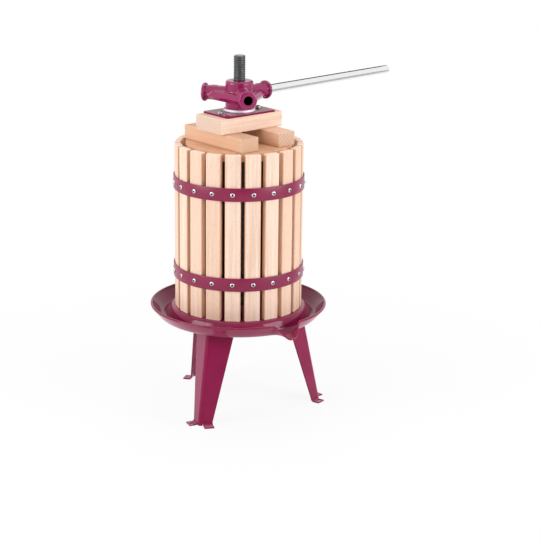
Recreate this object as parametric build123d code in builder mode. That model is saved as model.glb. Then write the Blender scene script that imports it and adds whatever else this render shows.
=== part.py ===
from build123d import *

import os
from math import cos, hypot, radians, sin, sqrt

# Fruit press: a slatted wooden basket stands on a three-legged juice tray. A fixed screw
# spindle rises through the middle, and a cast nut with three arms winds blocks and
# half-round boards down into the basket. A steel bar in one arm turns the nut.
# Millimetres, +Z up, origin on the spindle's axis at the floor, spout towards -Y.

# Sheet rings are drawn with many flats, hidden bores with fewer, small fasteners with a few
tray_sides = 60
hoop_sides = 60
washer_sides = 40
bore_sides = 20
fastener_sides = 8
hexagon_sides = 6

# Tray: one pressed sheet with a raised floor, a gutter round it and a rolled rim
tray_sheet = 2.0
tray_wall = 2.6
tray_floor_z = 236.0
floor_radius = 157.0
floor_ease = 1.5
gutter_z = 213.0
bowl_wall = 24.0
rim_radius = 197.5
rim_z = 238.0
rim_bead_radius = 200.2
rim_bead_half_height = 3.0
rim_bead_ease = 1.6

# Spout: the rim drawn out and down to a V at the front
spout_root = 173.0
spout_tip = 221.0
spout_mouth_half_width = 36.0
spout_mouth_half_floor = 12.0
spout_tip_half_width = 12.0
spout_tip_half_floor = 5.0
spout_tip_depth = 9.0
spout_fall = 2.0
spout_overcut = 12.0

# Legs: bent angle sheet, corner outwards, splayed and tapered to the floor
leg_azimuths = {"leg_rear": 90.0, "leg_left": 210.0, "leg_right": 330.0}
leg_sheet = 3.0
leg_half_angle = 50.0
leg_bend = 4.0
foot_corner_radius = 192.0
foot_flange = 30.0
top_corner_radius = 145.0
top_flange = 67.0
foot_tab_start = 4.0
foot_tab_width = 25.0
foot_tab_length = 19.0
foot_tab_corner = 4.0
foot_hole_radius = 4.25
foot_hole_side = -1
top_tab_start = 27.0
top_tab_width = 34.0
top_tab_length = 26.0
top_tab_corner = 6.0

# Hexagon bolts that hold the legs under the tray
bolt_radius = 4.0
bolt_hole_radius = 4.2
bolt_head_flats = 13.0
bolt_head_height = 5.0
bolt_length = 18.0
bolt_nut_height = 6.5

# Spindle, and the nuts, plate and washer that clamp its tail through the tray
spindle_radius = 13.0
spindle_top_z = 805.0
spindle_chamfer = 2.0
tail_radius = 10.0
tail_end_z = 202.0
tail_slack = 0.1
lock_nut_flats = 38.0
lock_nut_height = 14.0
lock_nut_bore_radius = 13.1
anchor_plate_side = 84.0
anchor_plate_corner = 12.0
anchor_plate_thickness = 6.0
anchor_washer_radius = 22.0
anchor_washer_thickness = 3.0
anchor_nut_flats = 30.0
anchor_nut_height = 16.0

# Basket: upright slats in a ring, held by two steel hoops
slat_count = 20
slat_phase = -2.4
slat_width = 34.5
slat_thickness = 14.0
slat_height = 376.0
slat_face_radius = 143.0
slat_ease = 2.0
hoop_height = 29.5
hoop_thickness = 2.5
hoop_levels = {"lower": 86.0, "upper": 289.0}
hoop_slack = 0.3

# Screws that hold the hoops to the slats
hoop_screw_head_radius = 5.2
hoop_screw_head_height = 3.0
hoop_screw_shank = 4.0
hoop_screw_depth = 11.0
hoop_screw_slack = 0.2

# Pressing stack: two half-round boards, two lower blocks and a top block
board_radius = 119.0
board_thickness = 20.0
board_split = 2.0
board_seam_offset = 79.0
board_seam_width = 2.0
board_seam_depth = 4.0
stack_clear_radius = 15.0
stack_azimuth = 6.2
lower_block_length = 204.0
lower_block_width = 46.5
lower_block_height = 31.5
lower_block_inner_edge = 28.5
top_block_length = 175.0
top_block_width = 88.0
top_block_height = 34.5
block_ease = 1.5

# Pressure plate, its screws and the thrust washer
plate_length = 136.0
plate_width = 87.0
plate_thickness = 4.0
plate_corner = 3.5
plate_screw_offset = 54.0
plate_screw_radius = 3.0
plate_screw_hole_radius = 3.2
plate_screw_length = 28.0
plate_screw_head_radius = 5.5
plate_screw_head_height = 3.6
plate_washer_radius = 8.5
plate_washer_thickness = 1.4
plate_washer_sides = 16
thrust_washer_radius = 35.0
thrust_washer_bore_radius = 13.6
thrust_washer_thickness = 6.0

# Press nut: a cast hub with three socketed arms joined by a web
nut_arm_azimuths = (10.3, 130.3, 250.3)
nut_bore_radius = 13.08
nut_hub_radius = 31.0
nut_hub_height = 61.5
nut_hub_ease = 3.0
arm_axis_height = 31.0
arm_half_width = 15.5
arm_sides = 8
arm_end = 84.0
arm_flange_radius = 20.0
arm_flange_length = 9.0
arm_flange_sides = 20
socket_radius = 10.3
socket_bottom = 32.0
web_reach = 74.0
web_half_width = 13.0
web_half_height = 10.0
web_drop = 4.0
web_slope = 25.0
arm_pad_distance = 58.0
arm_pad_length = 12.0
arm_pad_width = 9.0
arm_pad_height = 1.2

# Lever bar, pushed into the first arm's socket
bar_radius = 10.0
bar_inner_end = 34.0
bar_outer_end = 484.0
bar_end_chamfer = 1.5

# Levels and sizes that follow from the ones above
tray_under_z = tray_floor_z - tray_sheet
gutter_under_z = gutter_z - tray_sheet
rim_top_z = rim_z + rim_bead_half_height
hollow_wall = bowl_wall - tray_sheet - tray_wall + tray_sheet * sqrt(2)
leg_tab_under_z = tray_under_z - leg_sheet
top_tab_middle = top_tab_start + top_tab_width / 2
top_tab_inset = top_tab_length / 2 + leg_sheet
foot_tab_middle = foot_tab_start + foot_tab_width / 2
anchor_washer_z = tray_under_z - anchor_plate_thickness
anchor_nut_z = anchor_washer_z - anchor_washer_thickness
slat_azimuths = [slat_phase + index * 360.0 / slat_count for index in range(slat_count)]
slat_corner_radius = hypot(slat_face_radius, slat_width / 2 - slat_ease)
hoop_inner_radius = slat_corner_radius + hoop_slack
hoop_outer_radius = hoop_inner_radius + hoop_thickness
hoop_screw_hole = hoop_screw_shank + 2 * hoop_screw_slack
board_top_z = tray_floor_z + slat_height
lower_block_top_z = board_top_z + lower_block_height
top_block_top_z = lower_block_top_z + top_block_height
plate_top_z = top_block_top_z + plate_thickness
washer_top_z = plate_top_z + thrust_washer_thickness
arm_axis_z = washer_top_z + arm_axis_height

os.makedirs("parts", exist_ok=True)


def finish(piece, name):
    """Labels a finished piece and writes it to its own file."""
    piece.part.label = name
    export_step(piece.part, f"parts/{name}.step")


def heading(azimuth):
    """The level unit vector at an azimuth."""
    return Vector(cos(radians(azimuth)), sin(radians(azimuth)), 0)


def turned(azimuth):
    """The floor plane turned so that its X axis points at an azimuth."""
    return Plane(origin=(0, 0, 0), x_dir=heading(azimuth), z_dir=(0, 0, 1))


def facing(azimuth, distance, z):
    """An upright plane that faces out along an azimuth, with Z as its Y axis."""
    origin = heading(azimuth) * distance + Vector(0, 0, z)
    return Plane(origin=origin, x_dir=heading(azimuth + 90), z_dir=heading(azimuth))


def flange_heading(azimuth, side):
    """The level direction along one flange of a leg, away from the leg's corner."""
    return heading(azimuth + side * (180 - leg_half_angle))


def flange_plane(azimuth, side, corner_radius, z):
    """A level plane at a leg's corner, its X axis along one flange."""
    corner = heading(azimuth) * corner_radius + Vector(0, 0, z)
    return Plane(origin=corner, x_dir=flange_heading(azimuth, side), z_dir=(0, 0, 1))


# Leg bolts stand over the middles of the legs' top tabs
leg_bolt_points = [
    flange_plane(azimuth, side, top_corner_radius, 0).from_local_coords(
        Vector(top_tab_middle, side * top_tab_inset, 0)
    )
    for azimuth in leg_azimuths.values()
    for side in (-1, 1)
]
leg_bolt_places = [(point.X, point.Y) for point in leg_bolt_points]

# Juice tray. The spout's sections stand at its root, under the rim and at its tip.
tip_floor_z = gutter_under_z - spout_fall
spout_sections = (
    (spout_root, spout_mouth_half_width, spout_mouth_half_floor, rim_z, gutter_under_z),
    (rim_radius, spout_mouth_half_width, spout_mouth_half_floor, rim_z, gutter_under_z),
    (spout_tip, spout_tip_half_width, spout_tip_half_floor, tip_floor_z + spout_tip_depth, tip_floor_z),
)
with BuildPart() as tray_hollow:
    with BuildSketch(Plane.XY.offset(gutter_z)):
        RegularPolygon(rim_radius - tray_wall, tray_sides)
    extrude(amount=rim_top_z - gutter_z)
    chamfer(tray_hollow.faces().sort_by(Axis.Z)[0].edges(), hollow_wall)

with BuildPart() as tray:
    # Bowl, its rolled rim and the outside of the spout, solid at first
    with BuildSketch(Plane.XY.offset(gutter_under_z)):
        RegularPolygon(rim_radius, tray_sides)
    extrude(amount=rim_z - gutter_under_z)
    chamfer(tray.faces().sort_by(Axis.Z)[0].edges(), bowl_wall)
    with BuildSketch(Plane.XY.offset(rim_top_z)):
        RegularPolygon(rim_bead_radius, tray_sides)
    extrude(amount=-2 * rim_bead_half_height)
    chamfer(tray.faces().sort_by(Axis.Z)[-1].edges(), rim_bead_ease)
    for distance, half_width, half_floor, top_z, floor_z in spout_sections:
        with BuildSketch(Plane.XZ.offset(distance)):
            with BuildLine():
                Polyline(
                    (-half_width, top_z),
                    (-half_floor, floor_z),
                    (half_floor, floor_z),
                    (half_width, top_z),
                    close=True,
                )
            make_face()
    loft(ruled=True)
    # Hollow of the bowl, then the inside of the spout, open above and at the tip
    add(tray_hollow.part, mode=Mode.SUBTRACT)
    for distance, half_width, half_floor, top_z, floor_z in spout_sections:
        slope = (half_width - half_floor) / (top_z - floor_z)
        open_half_width = half_width + slope * spout_overcut - tray_wall
        with BuildSketch(Plane.XZ.offset(distance)):
            with BuildLine():
                Polyline(
                    (-open_half_width, top_z + spout_overcut),
                    (-half_floor + tray_wall / 2, floor_z + tray_sheet),
                    (half_floor - tray_wall / 2, floor_z + tray_sheet),
                    (open_half_width, top_z + spout_overcut),
                    close=True,
                )
            make_face()
    loft(ruled=True, mode=Mode.SUBTRACT)
    # Raised floor, hollow underneath, with holes for the spindle and the leg bolts
    with BuildSketch(Plane.XY.offset(gutter_under_z)):
        RegularPolygon(floor_radius, tray_sides)
    extrude(amount=tray_floor_z - gutter_under_z)
    raised_floor = tray.faces().filter_by_position(Axis.Z, tray_floor_z, tray_floor_z)
    chamfer(raised_floor.edges(), floor_ease)
    with BuildSketch(Plane.XY.offset(gutter_under_z)):
        RegularPolygon(floor_radius - tray_wall, tray_sides)
    extrude(amount=tray_under_z - gutter_under_z, mode=Mode.SUBTRACT)
    with BuildSketch(Plane.XY.offset(tray_floor_z)):
        RegularPolygon(tail_radius + tail_slack, bore_sides, major_radius=False)
        with Locations(*leg_bolt_places):
            RegularPolygon(bolt_hole_radius, fastener_sides, major_radius=False)
    extrude(amount=-tray_sheet, mode=Mode.SUBTRACT)
finish(tray, "tray")

# Legs: a slanted angle, its flanges trimmed to their taper, with tabs bent out and in
for leg_name, azimuth in leg_azimuths.items():
    foot_corner = heading(azimuth) * foot_corner_radius
    top_corner = heading(azimuth) * top_corner_radius + Vector(0, 0, tray_under_z)
    slant = top_corner - foot_corner
    with BuildPart() as leg:
        with BuildSketch(turned(azimuth)):
            with BuildLine():
                Polyline(
                    *[
                        (
                            foot_corner_radius - reach * cos(radians(leg_half_angle)),
                            side * reach * sin(radians(leg_half_angle)),
                        )
                        for side, reach in ((-1, top_flange), (-1, leg_bend), (1, leg_bend), (1, top_flange))
                    ]
                )
                offset(amount=leg_sheet, side=Side.LEFT, kind=Kind.INTERSECTION)
            make_face()
        extrude(amount=slant.length, dir=slant.normalized())
        for side in (-1, 1):
            along = flange_heading(azimuth, side)
            flange_face = Plane(origin=foot_corner, x_dir=along, z_dir=along.cross(slant))
            trim = (
                foot_corner + along * foot_flange,
                foot_corner + along * 2 * top_flange,
                top_corner + along * 2 * top_flange,
                top_corner + along * top_flange,
            )
            with BuildSketch(flange_face):
                with BuildLine():
                    Polyline(*[flange_face.to_local_coords(point) for point in trim], close=True)
                make_face()
            extrude(amount=2 * leg_sheet, both=True, mode=Mode.SUBTRACT)
        for side in (-1, 1):
            with BuildSketch(flange_plane(azimuth, side, foot_corner_radius, 0)) as foot_tab:
                with Locations((foot_tab_middle, -side * (foot_tab_length - leg_sheet) / 2)):
                    Rectangle(foot_tab_width, foot_tab_length + leg_sheet)
                chamfer(foot_tab.vertices().sort_by(Axis((0, 0, 0), (0, -side, 0)))[-2:], foot_tab_corner)
                if side == foot_hole_side:
                    with Locations((foot_tab_middle, -side * foot_tab_length / 2)):
                        Circle(foot_hole_radius, mode=Mode.SUBTRACT)
            extrude(amount=leg_sheet)
            with BuildSketch(flange_plane(azimuth, side, top_corner_radius, leg_tab_under_z)) as top_tab:
                with Locations((top_tab_middle, side * (top_tab_length + leg_sheet) / 2)):
                    Rectangle(top_tab_width, top_tab_length + leg_sheet)
                chamfer(top_tab.vertices().sort_by(Axis((0, 0, 0), (0, side, 0)))[-2:], top_tab_corner)
                with Locations((top_tab_middle, side * top_tab_inset)):
                    RegularPolygon(bolt_hole_radius, fastener_sides, major_radius=False, mode=Mode.SUBTRACT)
            extrude(amount=leg_sheet)
    finish(leg, leg_name)

# Leg bolts, heads on the tray's raised floor and nuts under the leg tabs
with BuildPart() as leg_bolts:
    with BuildSketch(Plane.XY.offset(tray_floor_z)):
        with Locations(*leg_bolt_places):
            RegularPolygon(bolt_head_flats / 2, hexagon_sides, major_radius=False)
    extrude(amount=bolt_head_height)
    with BuildSketch(Plane.XY.offset(tray_floor_z)):
        with Locations(*leg_bolt_places):
            RegularPolygon(bolt_radius, fastener_sides)
    extrude(amount=-bolt_length)
finish(leg_bolts, "leg_bolts")

with BuildPart() as leg_nuts:
    with BuildSketch(Plane.XY.offset(leg_tab_under_z)):
        with Locations(*leg_bolt_places):
            RegularPolygon(bolt_head_flats / 2, hexagon_sides, major_radius=False)
            RegularPolygon(bolt_hole_radius, fastener_sides, major_radius=False, mode=Mode.SUBTRACT)
    extrude(amount=-bolt_nut_height)
finish(leg_nuts, "leg_nuts")

# Spindle: threaded length above the tray, thinner tail through it
with BuildPart() as spindle:
    with BuildSketch(Plane.XY.offset(tray_floor_z)):
        Circle(spindle_radius)
    extrude(amount=spindle_top_z - tray_floor_z)
    with BuildSketch(Plane.XY.offset(tail_end_z)):
        Circle(tail_radius)
    extrude(amount=tray_floor_z - tail_end_z)
    ends = spindle.edges().filter_by(GeomType.CIRCLE).group_by(Axis.Z)
    chamfer(ends[0] + ends[-1], spindle_chamfer)
finish(spindle, "spindle")

with BuildPart() as lock_nut:
    with BuildSketch(Plane.XY.offset(tray_floor_z)):
        RegularPolygon(lock_nut_flats / 2, hexagon_sides, major_radius=False)
        RegularPolygon(lock_nut_bore_radius, bore_sides, major_radius=False, mode=Mode.SUBTRACT)
    extrude(amount=lock_nut_height)
finish(lock_nut, "lock_nut")

with BuildPart() as anchor_plate:
    with BuildSketch(Plane.XY.offset(tray_under_z)) as plate_outline:
        Rectangle(anchor_plate_side, anchor_plate_side)
        chamfer(plate_outline.vertices(), anchor_plate_corner)
        RegularPolygon(tail_radius + tail_slack, bore_sides, major_radius=False, mode=Mode.SUBTRACT)
    extrude(amount=-anchor_plate_thickness)
finish(anchor_plate, "anchor_plate")

with BuildPart() as anchor_washer:
    with BuildSketch(Plane.XY.offset(anchor_washer_z)):
        RegularPolygon(anchor_washer_radius, washer_sides)
        RegularPolygon(tail_radius + tail_slack, bore_sides, major_radius=False, mode=Mode.SUBTRACT)
    extrude(amount=-anchor_washer_thickness)
finish(anchor_washer, "anchor_washer")

with BuildPart() as anchor_nut:
    with BuildSketch(Plane.XY.offset(anchor_nut_z)):
        RegularPolygon(anchor_nut_flats / 2, hexagon_sides, major_radius=False)
        RegularPolygon(tail_radius + tail_slack, bore_sides, major_radius=False, mode=Mode.SUBTRACT)
    extrude(amount=-anchor_nut_height)
finish(anchor_nut, "anchor_nut")

# Basket slats: flat staves on end, outer edges eased, with a pilot hole behind each hoop
for index, azimuth in enumerate(slat_azimuths):
    with BuildPart() as slat:
        with BuildSketch(facing(azimuth, slat_face_radius, tray_floor_z)):
            Rectangle(slat_width, slat_height, align=(Align.CENTER, Align.MIN))
        extrude(amount=-slat_thickness)
        outer_face = slat.faces().sort_by(Axis((0, 0, 0), heading(azimuth)))[-1]
        chamfer(outer_face.edges(), slat_ease)
        for level in hoop_levels.values():
            with BuildSketch(facing(azimuth, slat_face_radius, tray_floor_z + level)):
                Rectangle(hoop_screw_hole, hoop_screw_hole)
            extrude(amount=-hoop_screw_depth, mode=Mode.SUBTRACT)
    finish(slat, f"slat_{index + 1:02d}")

# Hoops, with a flat under each screw head, and their screws
for hoop_name, level in hoop_levels.items():
    hoop_z = tray_floor_z + level
    half_side = 180.0 / hoop_sides
    with BuildPart() as hoop:
        with BuildSketch(turned(slat_phase + half_side).offset(hoop_z - hoop_height / 2)):
            RegularPolygon(hoop_outer_radius, hoop_sides, major_radius=False)
            RegularPolygon(hoop_inner_radius, hoop_sides, major_radius=False, mode=Mode.SUBTRACT)
        extrude(amount=hoop_height)
        for azimuth in slat_azimuths:
            with BuildSketch(facing(azimuth, hoop_outer_radius, hoop_z)):
                Rectangle(hoop_screw_hole, hoop_screw_hole)
            extrude(amount=-hoop_thickness, mode=Mode.SUBTRACT)
    finish(hoop, f"{hoop_name}_hoop")
    with BuildPart() as hoop_screws:
        for azimuth in slat_azimuths:
            seat = facing(azimuth, hoop_outer_radius, hoop_z)
            with BuildSketch(seat):
                RegularPolygon(hoop_screw_head_radius, fastener_sides)
            extrude(amount=hoop_screw_head_height)
            with BuildSketch(seat):
                Rectangle(hoop_screw_shank, hoop_screw_shank)
            extrude(amount=slat_face_radius - hoop_outer_radius - hoop_screw_depth + hoop_screw_shank)
    finish(hoop_screws, f"{hoop_name}_hoop_screws")

# Half-round boards at the foot of the pressing stack, each with a seam between its planks
stack = turned(stack_azimuth)
for board_name, side in {"board_left": -1, "board_right": 1}.items():
    with BuildPart() as board:
        with BuildSketch(stack.offset(board_top_z)):
            Circle(board_radius)
            Circle(stack_clear_radius, mode=Mode.SUBTRACT)
            with Locations((side * (board_split / 2 - board_radius), 0)):
                Rectangle(2 * board_radius, 2 * board_radius, mode=Mode.SUBTRACT)
        extrude(amount=-board_thickness)
        with BuildSketch(stack.offset(board_top_z)):
            with Locations((side * board_seam_offset, 0)):
                Rectangle(board_seam_width, 2 * board_radius)
        extrude(amount=-board_seam_depth, mode=Mode.SUBTRACT)
    finish(board, board_name)

# Lower blocks lie on the boards, one on each side of the spindle
for block_name, side in {"lower_block_left": -1, "lower_block_right": 1}.items():
    with BuildPart() as lower_block:
        with BuildSketch(stack.offset(board_top_z)):
            with Locations((side * (lower_block_inner_edge + lower_block_width / 2), 0)):
                Rectangle(lower_block_width, lower_block_length)
        extrude(amount=lower_block_height)
        chamfer(lower_block.edges(), block_ease)
    finish(lower_block, block_name)

# Top block lies across the lower blocks, with a hole for the spindle
plate_screw_places = ((-plate_screw_offset, 0), (plate_screw_offset, 0))
with BuildPart() as top_block:
    with BuildSketch(stack.offset(lower_block_top_z)):
        Rectangle(top_block_length, top_block_width)
    extrude(amount=top_block_height)
    chamfer(top_block.edges(), block_ease)
    with BuildSketch(stack.offset(lower_block_top_z)):
        RegularPolygon(stack_clear_radius, bore_sides, major_radius=False)
    extrude(amount=top_block_height, mode=Mode.SUBTRACT)
    with BuildSketch(stack.offset(top_block_top_z)):
        with Locations(*plate_screw_places):
            RegularPolygon(plate_screw_hole_radius, fastener_sides, major_radius=False)
    extrude(amount=-plate_screw_length, mode=Mode.SUBTRACT)
finish(top_block, "top_block")

with BuildPart() as pressure_plate:
    with BuildSketch(stack.offset(top_block_top_z)):
        RectangleRounded(plate_length, plate_width, plate_corner)
        RegularPolygon(stack_clear_radius, bore_sides, major_radius=False, mode=Mode.SUBTRACT)
        with Locations(*plate_screw_places):
            RegularPolygon(plate_screw_hole_radius, fastener_sides, major_radius=False, mode=Mode.SUBTRACT)
    extrude(amount=plate_thickness)
finish(pressure_plate, "pressure_plate")

with BuildPart() as plate_washers:
    with BuildSketch(stack.offset(plate_top_z)):
        with Locations(*plate_screw_places):
            RegularPolygon(plate_washer_radius, plate_washer_sides)
            RegularPolygon(plate_screw_hole_radius, fastener_sides, major_radius=False, mode=Mode.SUBTRACT)
    extrude(amount=plate_washer_thickness)
finish(plate_washers, "plate_washers")

with BuildPart() as plate_screws:
    for radius, height in (
        (plate_screw_head_radius, plate_screw_head_height),
        (plate_screw_radius, -plate_screw_length),
    ):
        with BuildSketch(stack.offset(plate_top_z + plate_washer_thickness)):
            with Locations(*plate_screw_places):
                RegularPolygon(radius, fastener_sides)
        extrude(amount=height)
finish(plate_screws, "plate_screws")

with BuildPart() as thrust_washer:
    with BuildSketch(Plane.XY.offset(plate_top_z)):
        RegularPolygon(thrust_washer_radius, washer_sides)
        RegularPolygon(thrust_washer_bore_radius, bore_sides, major_radius=False, mode=Mode.SUBTRACT)
    extrude(amount=thrust_washer_thickness)
finish(thrust_washer, "thrust_washer")

# Press nut: hub, web and arms are one casting, then its sockets and bore are cut
with BuildPart() as press_nut:
    with BuildSketch(Plane.XZ):
        with BuildLine():
            Polyline(
                (0, washer_top_z),
                (nut_hub_radius, washer_top_z),
                (nut_hub_radius, washer_top_z + nut_hub_height - nut_hub_ease),
                (nut_hub_radius - nut_hub_ease, washer_top_z + nut_hub_height),
                (0, washer_top_z + nut_hub_height),
                close=True,
            )
        make_face()
    revolve(axis=Axis.Z)
    for rise in (-web_half_height, web_half_height):
        with BuildSketch(Plane.XY.offset(arm_axis_z - web_drop)):
            with BuildLine():
                Polyline(
                    *[
                        turned(azimuth).from_local_coords(Vector(web_reach, side * web_half_width, 0))
                        for azimuth in nut_arm_azimuths
                        for side in (-1, 1)
                    ],
                    close=True,
                )
            make_face()
        extrude(amount=rise, taper=web_slope)
    for azimuth in nut_arm_azimuths:
        with BuildSketch(facing(azimuth, 0, arm_axis_z)):
            RegularPolygon(arm_half_width, arm_sides, major_radius=False, rotation=180 / arm_sides)
        extrude(amount=arm_end)
        with BuildSketch(facing(azimuth, arm_end - arm_flange_length, arm_axis_z)):
            RegularPolygon(arm_flange_radius, arm_flange_sides)
        extrude(amount=arm_flange_length)
        with BuildSketch(turned(azimuth).offset(arm_axis_z)):
            with Locations((arm_pad_distance, 0)):
                Rectangle(arm_pad_length, arm_pad_width)
        extrude(amount=arm_half_width + arm_pad_height)
    for azimuth in nut_arm_azimuths:
        with BuildSketch(facing(azimuth, socket_bottom, arm_axis_z)):
            Circle(socket_radius)
        extrude(amount=arm_end - socket_bottom, mode=Mode.SUBTRACT)
    with BuildSketch(Plane.XY.offset(washer_top_z)):
        Circle(nut_bore_radius)
    extrude(amount=nut_hub_height, mode=Mode.SUBTRACT)
finish(press_nut, "press_nut")

# Lever bar
with BuildPart() as lever_bar:
    with BuildSketch(facing(nut_arm_azimuths[0], bar_inner_end, arm_axis_z)):
        Circle(bar_radius)
    extrude(amount=bar_outer_end - bar_inner_end)
    chamfer(lever_bar.edges().filter_by(GeomType.CIRCLE), bar_end_chamfer)
finish(lever_bar, "lever_bar")
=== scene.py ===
from math import acos, atan2, cos, degrees, pi, radians, sin, tau

import bmesh
import bpy
from bpy.props import FloatProperty, FloatVectorProperty, IntProperty, PointerProperty
from mathutils import Matrix, Quaternion, Vector


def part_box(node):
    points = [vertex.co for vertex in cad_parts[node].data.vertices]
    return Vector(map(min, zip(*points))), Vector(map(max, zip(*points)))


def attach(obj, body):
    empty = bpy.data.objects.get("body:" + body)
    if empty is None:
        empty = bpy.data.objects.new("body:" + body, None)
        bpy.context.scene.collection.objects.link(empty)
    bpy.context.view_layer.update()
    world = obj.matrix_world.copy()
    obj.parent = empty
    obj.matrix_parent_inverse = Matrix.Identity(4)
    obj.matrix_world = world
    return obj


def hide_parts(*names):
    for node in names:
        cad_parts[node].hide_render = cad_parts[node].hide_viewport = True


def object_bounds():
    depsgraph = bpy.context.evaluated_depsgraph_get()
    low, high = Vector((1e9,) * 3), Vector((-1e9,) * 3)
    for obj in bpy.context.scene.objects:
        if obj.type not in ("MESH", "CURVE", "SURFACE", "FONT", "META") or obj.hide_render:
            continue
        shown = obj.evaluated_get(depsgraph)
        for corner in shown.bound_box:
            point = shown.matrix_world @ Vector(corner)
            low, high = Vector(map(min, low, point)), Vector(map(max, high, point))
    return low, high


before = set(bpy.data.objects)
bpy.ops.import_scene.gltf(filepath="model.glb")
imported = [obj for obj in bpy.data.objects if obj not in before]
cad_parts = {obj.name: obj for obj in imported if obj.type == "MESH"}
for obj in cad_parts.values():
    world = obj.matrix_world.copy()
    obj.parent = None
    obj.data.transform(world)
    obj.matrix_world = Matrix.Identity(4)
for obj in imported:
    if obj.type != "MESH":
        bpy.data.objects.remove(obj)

bl_info = {
    "name": "Fruit Press",
    "version": (1, 0, 0),
    "blender": (4, 5, 0),
    "location": "View3D > Sidebar > Press",
    "description": "Dresses the solids of a basket fruit press with finished pieces",
    "category": "Object",
}

CAD_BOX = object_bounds()
MM = 0.001
UP = Vector((0, 0, 1))

# Places that the solids share
SLAT_COUNT = 20
SLAT_PHASE = -2.4
STACK_AZIMUTH = 6.2
SPOUT_AZIMUTH = -90.0
LEG_AZIMUTHS = {"leg_rear": 90.0, "leg_left": 210.0, "leg_right": 330.0}
LEG_HALF_ANGLE = 50.0
SPINDLE_RADIUS = (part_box("spindle")[1][0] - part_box("spindle")[0][0]) / 2
TAIL_RADIUS = 10.0 * MM
STACK_CLEARANCE = 2.0 * MM


def heading(azimuth):
    """Gives the level direction at an azimuth in degrees."""
    return Vector((cos(radians(azimuth)), sin(radians(azimuth)), 0))


def slat_heading(index):
    """Gives the level direction that a slat looks in."""
    return heading(SLAT_PHASE + index * 360 / SLAT_COUNT)


def span(node, direction):
    """Gives the lowest and highest place of a solid along a direction."""
    places = [direction.dot(corner.co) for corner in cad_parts[node].data.vertices]
    return min(places), max(places)


def axes_at(place, across, up):
    """Gives the matrix of a frame at a place, from its first and third axes."""
    side = up.cross(across)
    turn = Matrix((across, side, up)).transposed().to_4x4()
    return Matrix.Translation(place) @ turn


def stack_axes(height):
    """Gives the pressing stack's own frame at a height."""
    return axes_at(UP * height, heading(STACK_AZIMUTH), UP)


def bar_azimuth():
    """Gives the azimuth of the lever bar, which is that of the first arm."""
    low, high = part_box("lever_bar")
    return degrees(atan2(low[1] + high[1], low[0] + high[0]))


ARM_AZIMUTHS = [bar_azimuth() + turn for turn in (0, 120, 240)]


class PressSizes(bpy.types.PropertyGroup):
    """Sizes of the finished forms that the plain solids leave out."""

    slat_rounding: FloatProperty(
        name="Slat rounding", description="Radius on the edges of the slats",
        default=2.8 * MM, unit="LENGTH")
    block_rounding: FloatProperty(
        name="Block rounding", description="Radius on the edges of the blocks",
        default=2.2 * MM, unit="LENGTH")
    sheet: FloatProperty(
        name="Tray sheet", description="Thickness of the tray's sheet",
        default=2.0 * MM, unit="LENGTH")
    leg_sheet: FloatProperty(
        name="Leg sheet", description="Thickness of the legs' sheet",
        default=3.0 * MM, unit="LENGTH")
    leg_bend: FloatProperty(
        name="Leg bend", description="Outer radius of the legs' corner bend",
        default=9.0 * MM, unit="LENGTH")
    tab_bend: FloatProperty(
        name="Tab bend", description="Radius where a tab bends off its leg",
        default=5.0 * MM, unit="LENGTH")
    thread_pitch: FloatProperty(
        name="Thread pitch", description="Rise of the spindle's thread in one turn",
        default=5.0 * MM, unit="LENGTH")
    thread_depth: FloatProperty(
        name="Thread depth", description="Depth of the spindle's thread",
        default=1.3 * MM, unit="LENGTH")
    casting_grain: FloatProperty(
        name="Casting step", description="Step at which the nut's casting is smoothed",
        default=0.7 * MM, unit="LENGTH")
    casting_smoothing: IntProperty(
        name="Casting smoothing", description="How often the casting's corners are relaxed",
        default=24, min=0)


class PressColours(bpy.types.PropertyGroup):
    """Colours of the press's finishes."""

    burgundy: FloatVectorProperty(
        name="Burgundy", description="Colour of the paint",
        default=(0.255, 0.006, 0.060), subtype="COLOR")
    burgundy_deep: FloatVectorProperty(
        name="Deep burgundy", description="Colour where the paint lies thicker",
        default=(0.215, 0.004, 0.048), subtype="COLOR")
    casting: FloatVectorProperty(
        name="Casting burgundy", description="Colour of the paint on the nut's casting",
        default=(0.30, 0.011, 0.098), subtype="COLOR")
    casting_deep: FloatVectorProperty(
        name="Deep casting burgundy", description="Colour where the casting's paint lies thicker",
        default=(0.265, 0.008, 0.082), subtype="COLOR")
    beech_pale: FloatVectorProperty(
        name="Pale beech", description="Colour of the early wood",
        default=(0.95, 0.74, 0.612), subtype="COLOR")
    beech_dark: FloatVectorProperty(
        name="Dark beech", description="Colour of the late wood",
        default=(0.80, 0.565, 0.43), subtype="COLOR")
    beech_fleck: FloatVectorProperty(
        name="Beech fleck", description="Colour of the short rays",
        default=(0.58, 0.33, 0.20), subtype="COLOR")
    warm_pale: FloatVectorProperty(
        name="Warm pale beech", description="Early wood of the warmer blocks",
        default=(0.86, 0.525, 0.335), subtype="COLOR")
    warm_dark: FloatVectorProperty(
        name="Warm dark beech", description="Late wood of the warmer blocks",
        default=(0.74, 0.42, 0.25), subtype="COLOR")
    spindle_steel: FloatVectorProperty(
        name="Spindle steel", description="Colour of the oiled spindle",
        default=(0.118, 0.118, 0.121), subtype="COLOR")
    zinc: FloatVectorProperty(
        name="Zinc", description="Colour of the plated fasteners",
        default=(0.76, 0.76, 0.77), subtype="COLOR")
    # Painted shade: the dark colour painted on the inside of the basket, below the boards
    juice: FloatVectorProperty(
        name="Juice stain", description="Colour of the wood inside the basket",
        default=(0.11, 0.06, 0.035), subtype="COLOR")
    # Painted shade: the nearly black colour painted inside screw recesses and sockets
    recess: FloatVectorProperty(
        name="Recess", description="Colour inside screw recesses and sockets",
        default=(0.012, 0.010, 0.011), subtype="COLOR")
    washer: FloatVectorProperty(
        name="Washer", description="Colour of the dull thrust washer",
        default=(0.84, 0.80, 0.86), subtype="COLOR")
    bar_steel: FloatVectorProperty(
        name="Bar steel", description="Colour of the polished bar",
        default=(0.86, 0.86, 0.87), subtype="COLOR")


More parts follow.
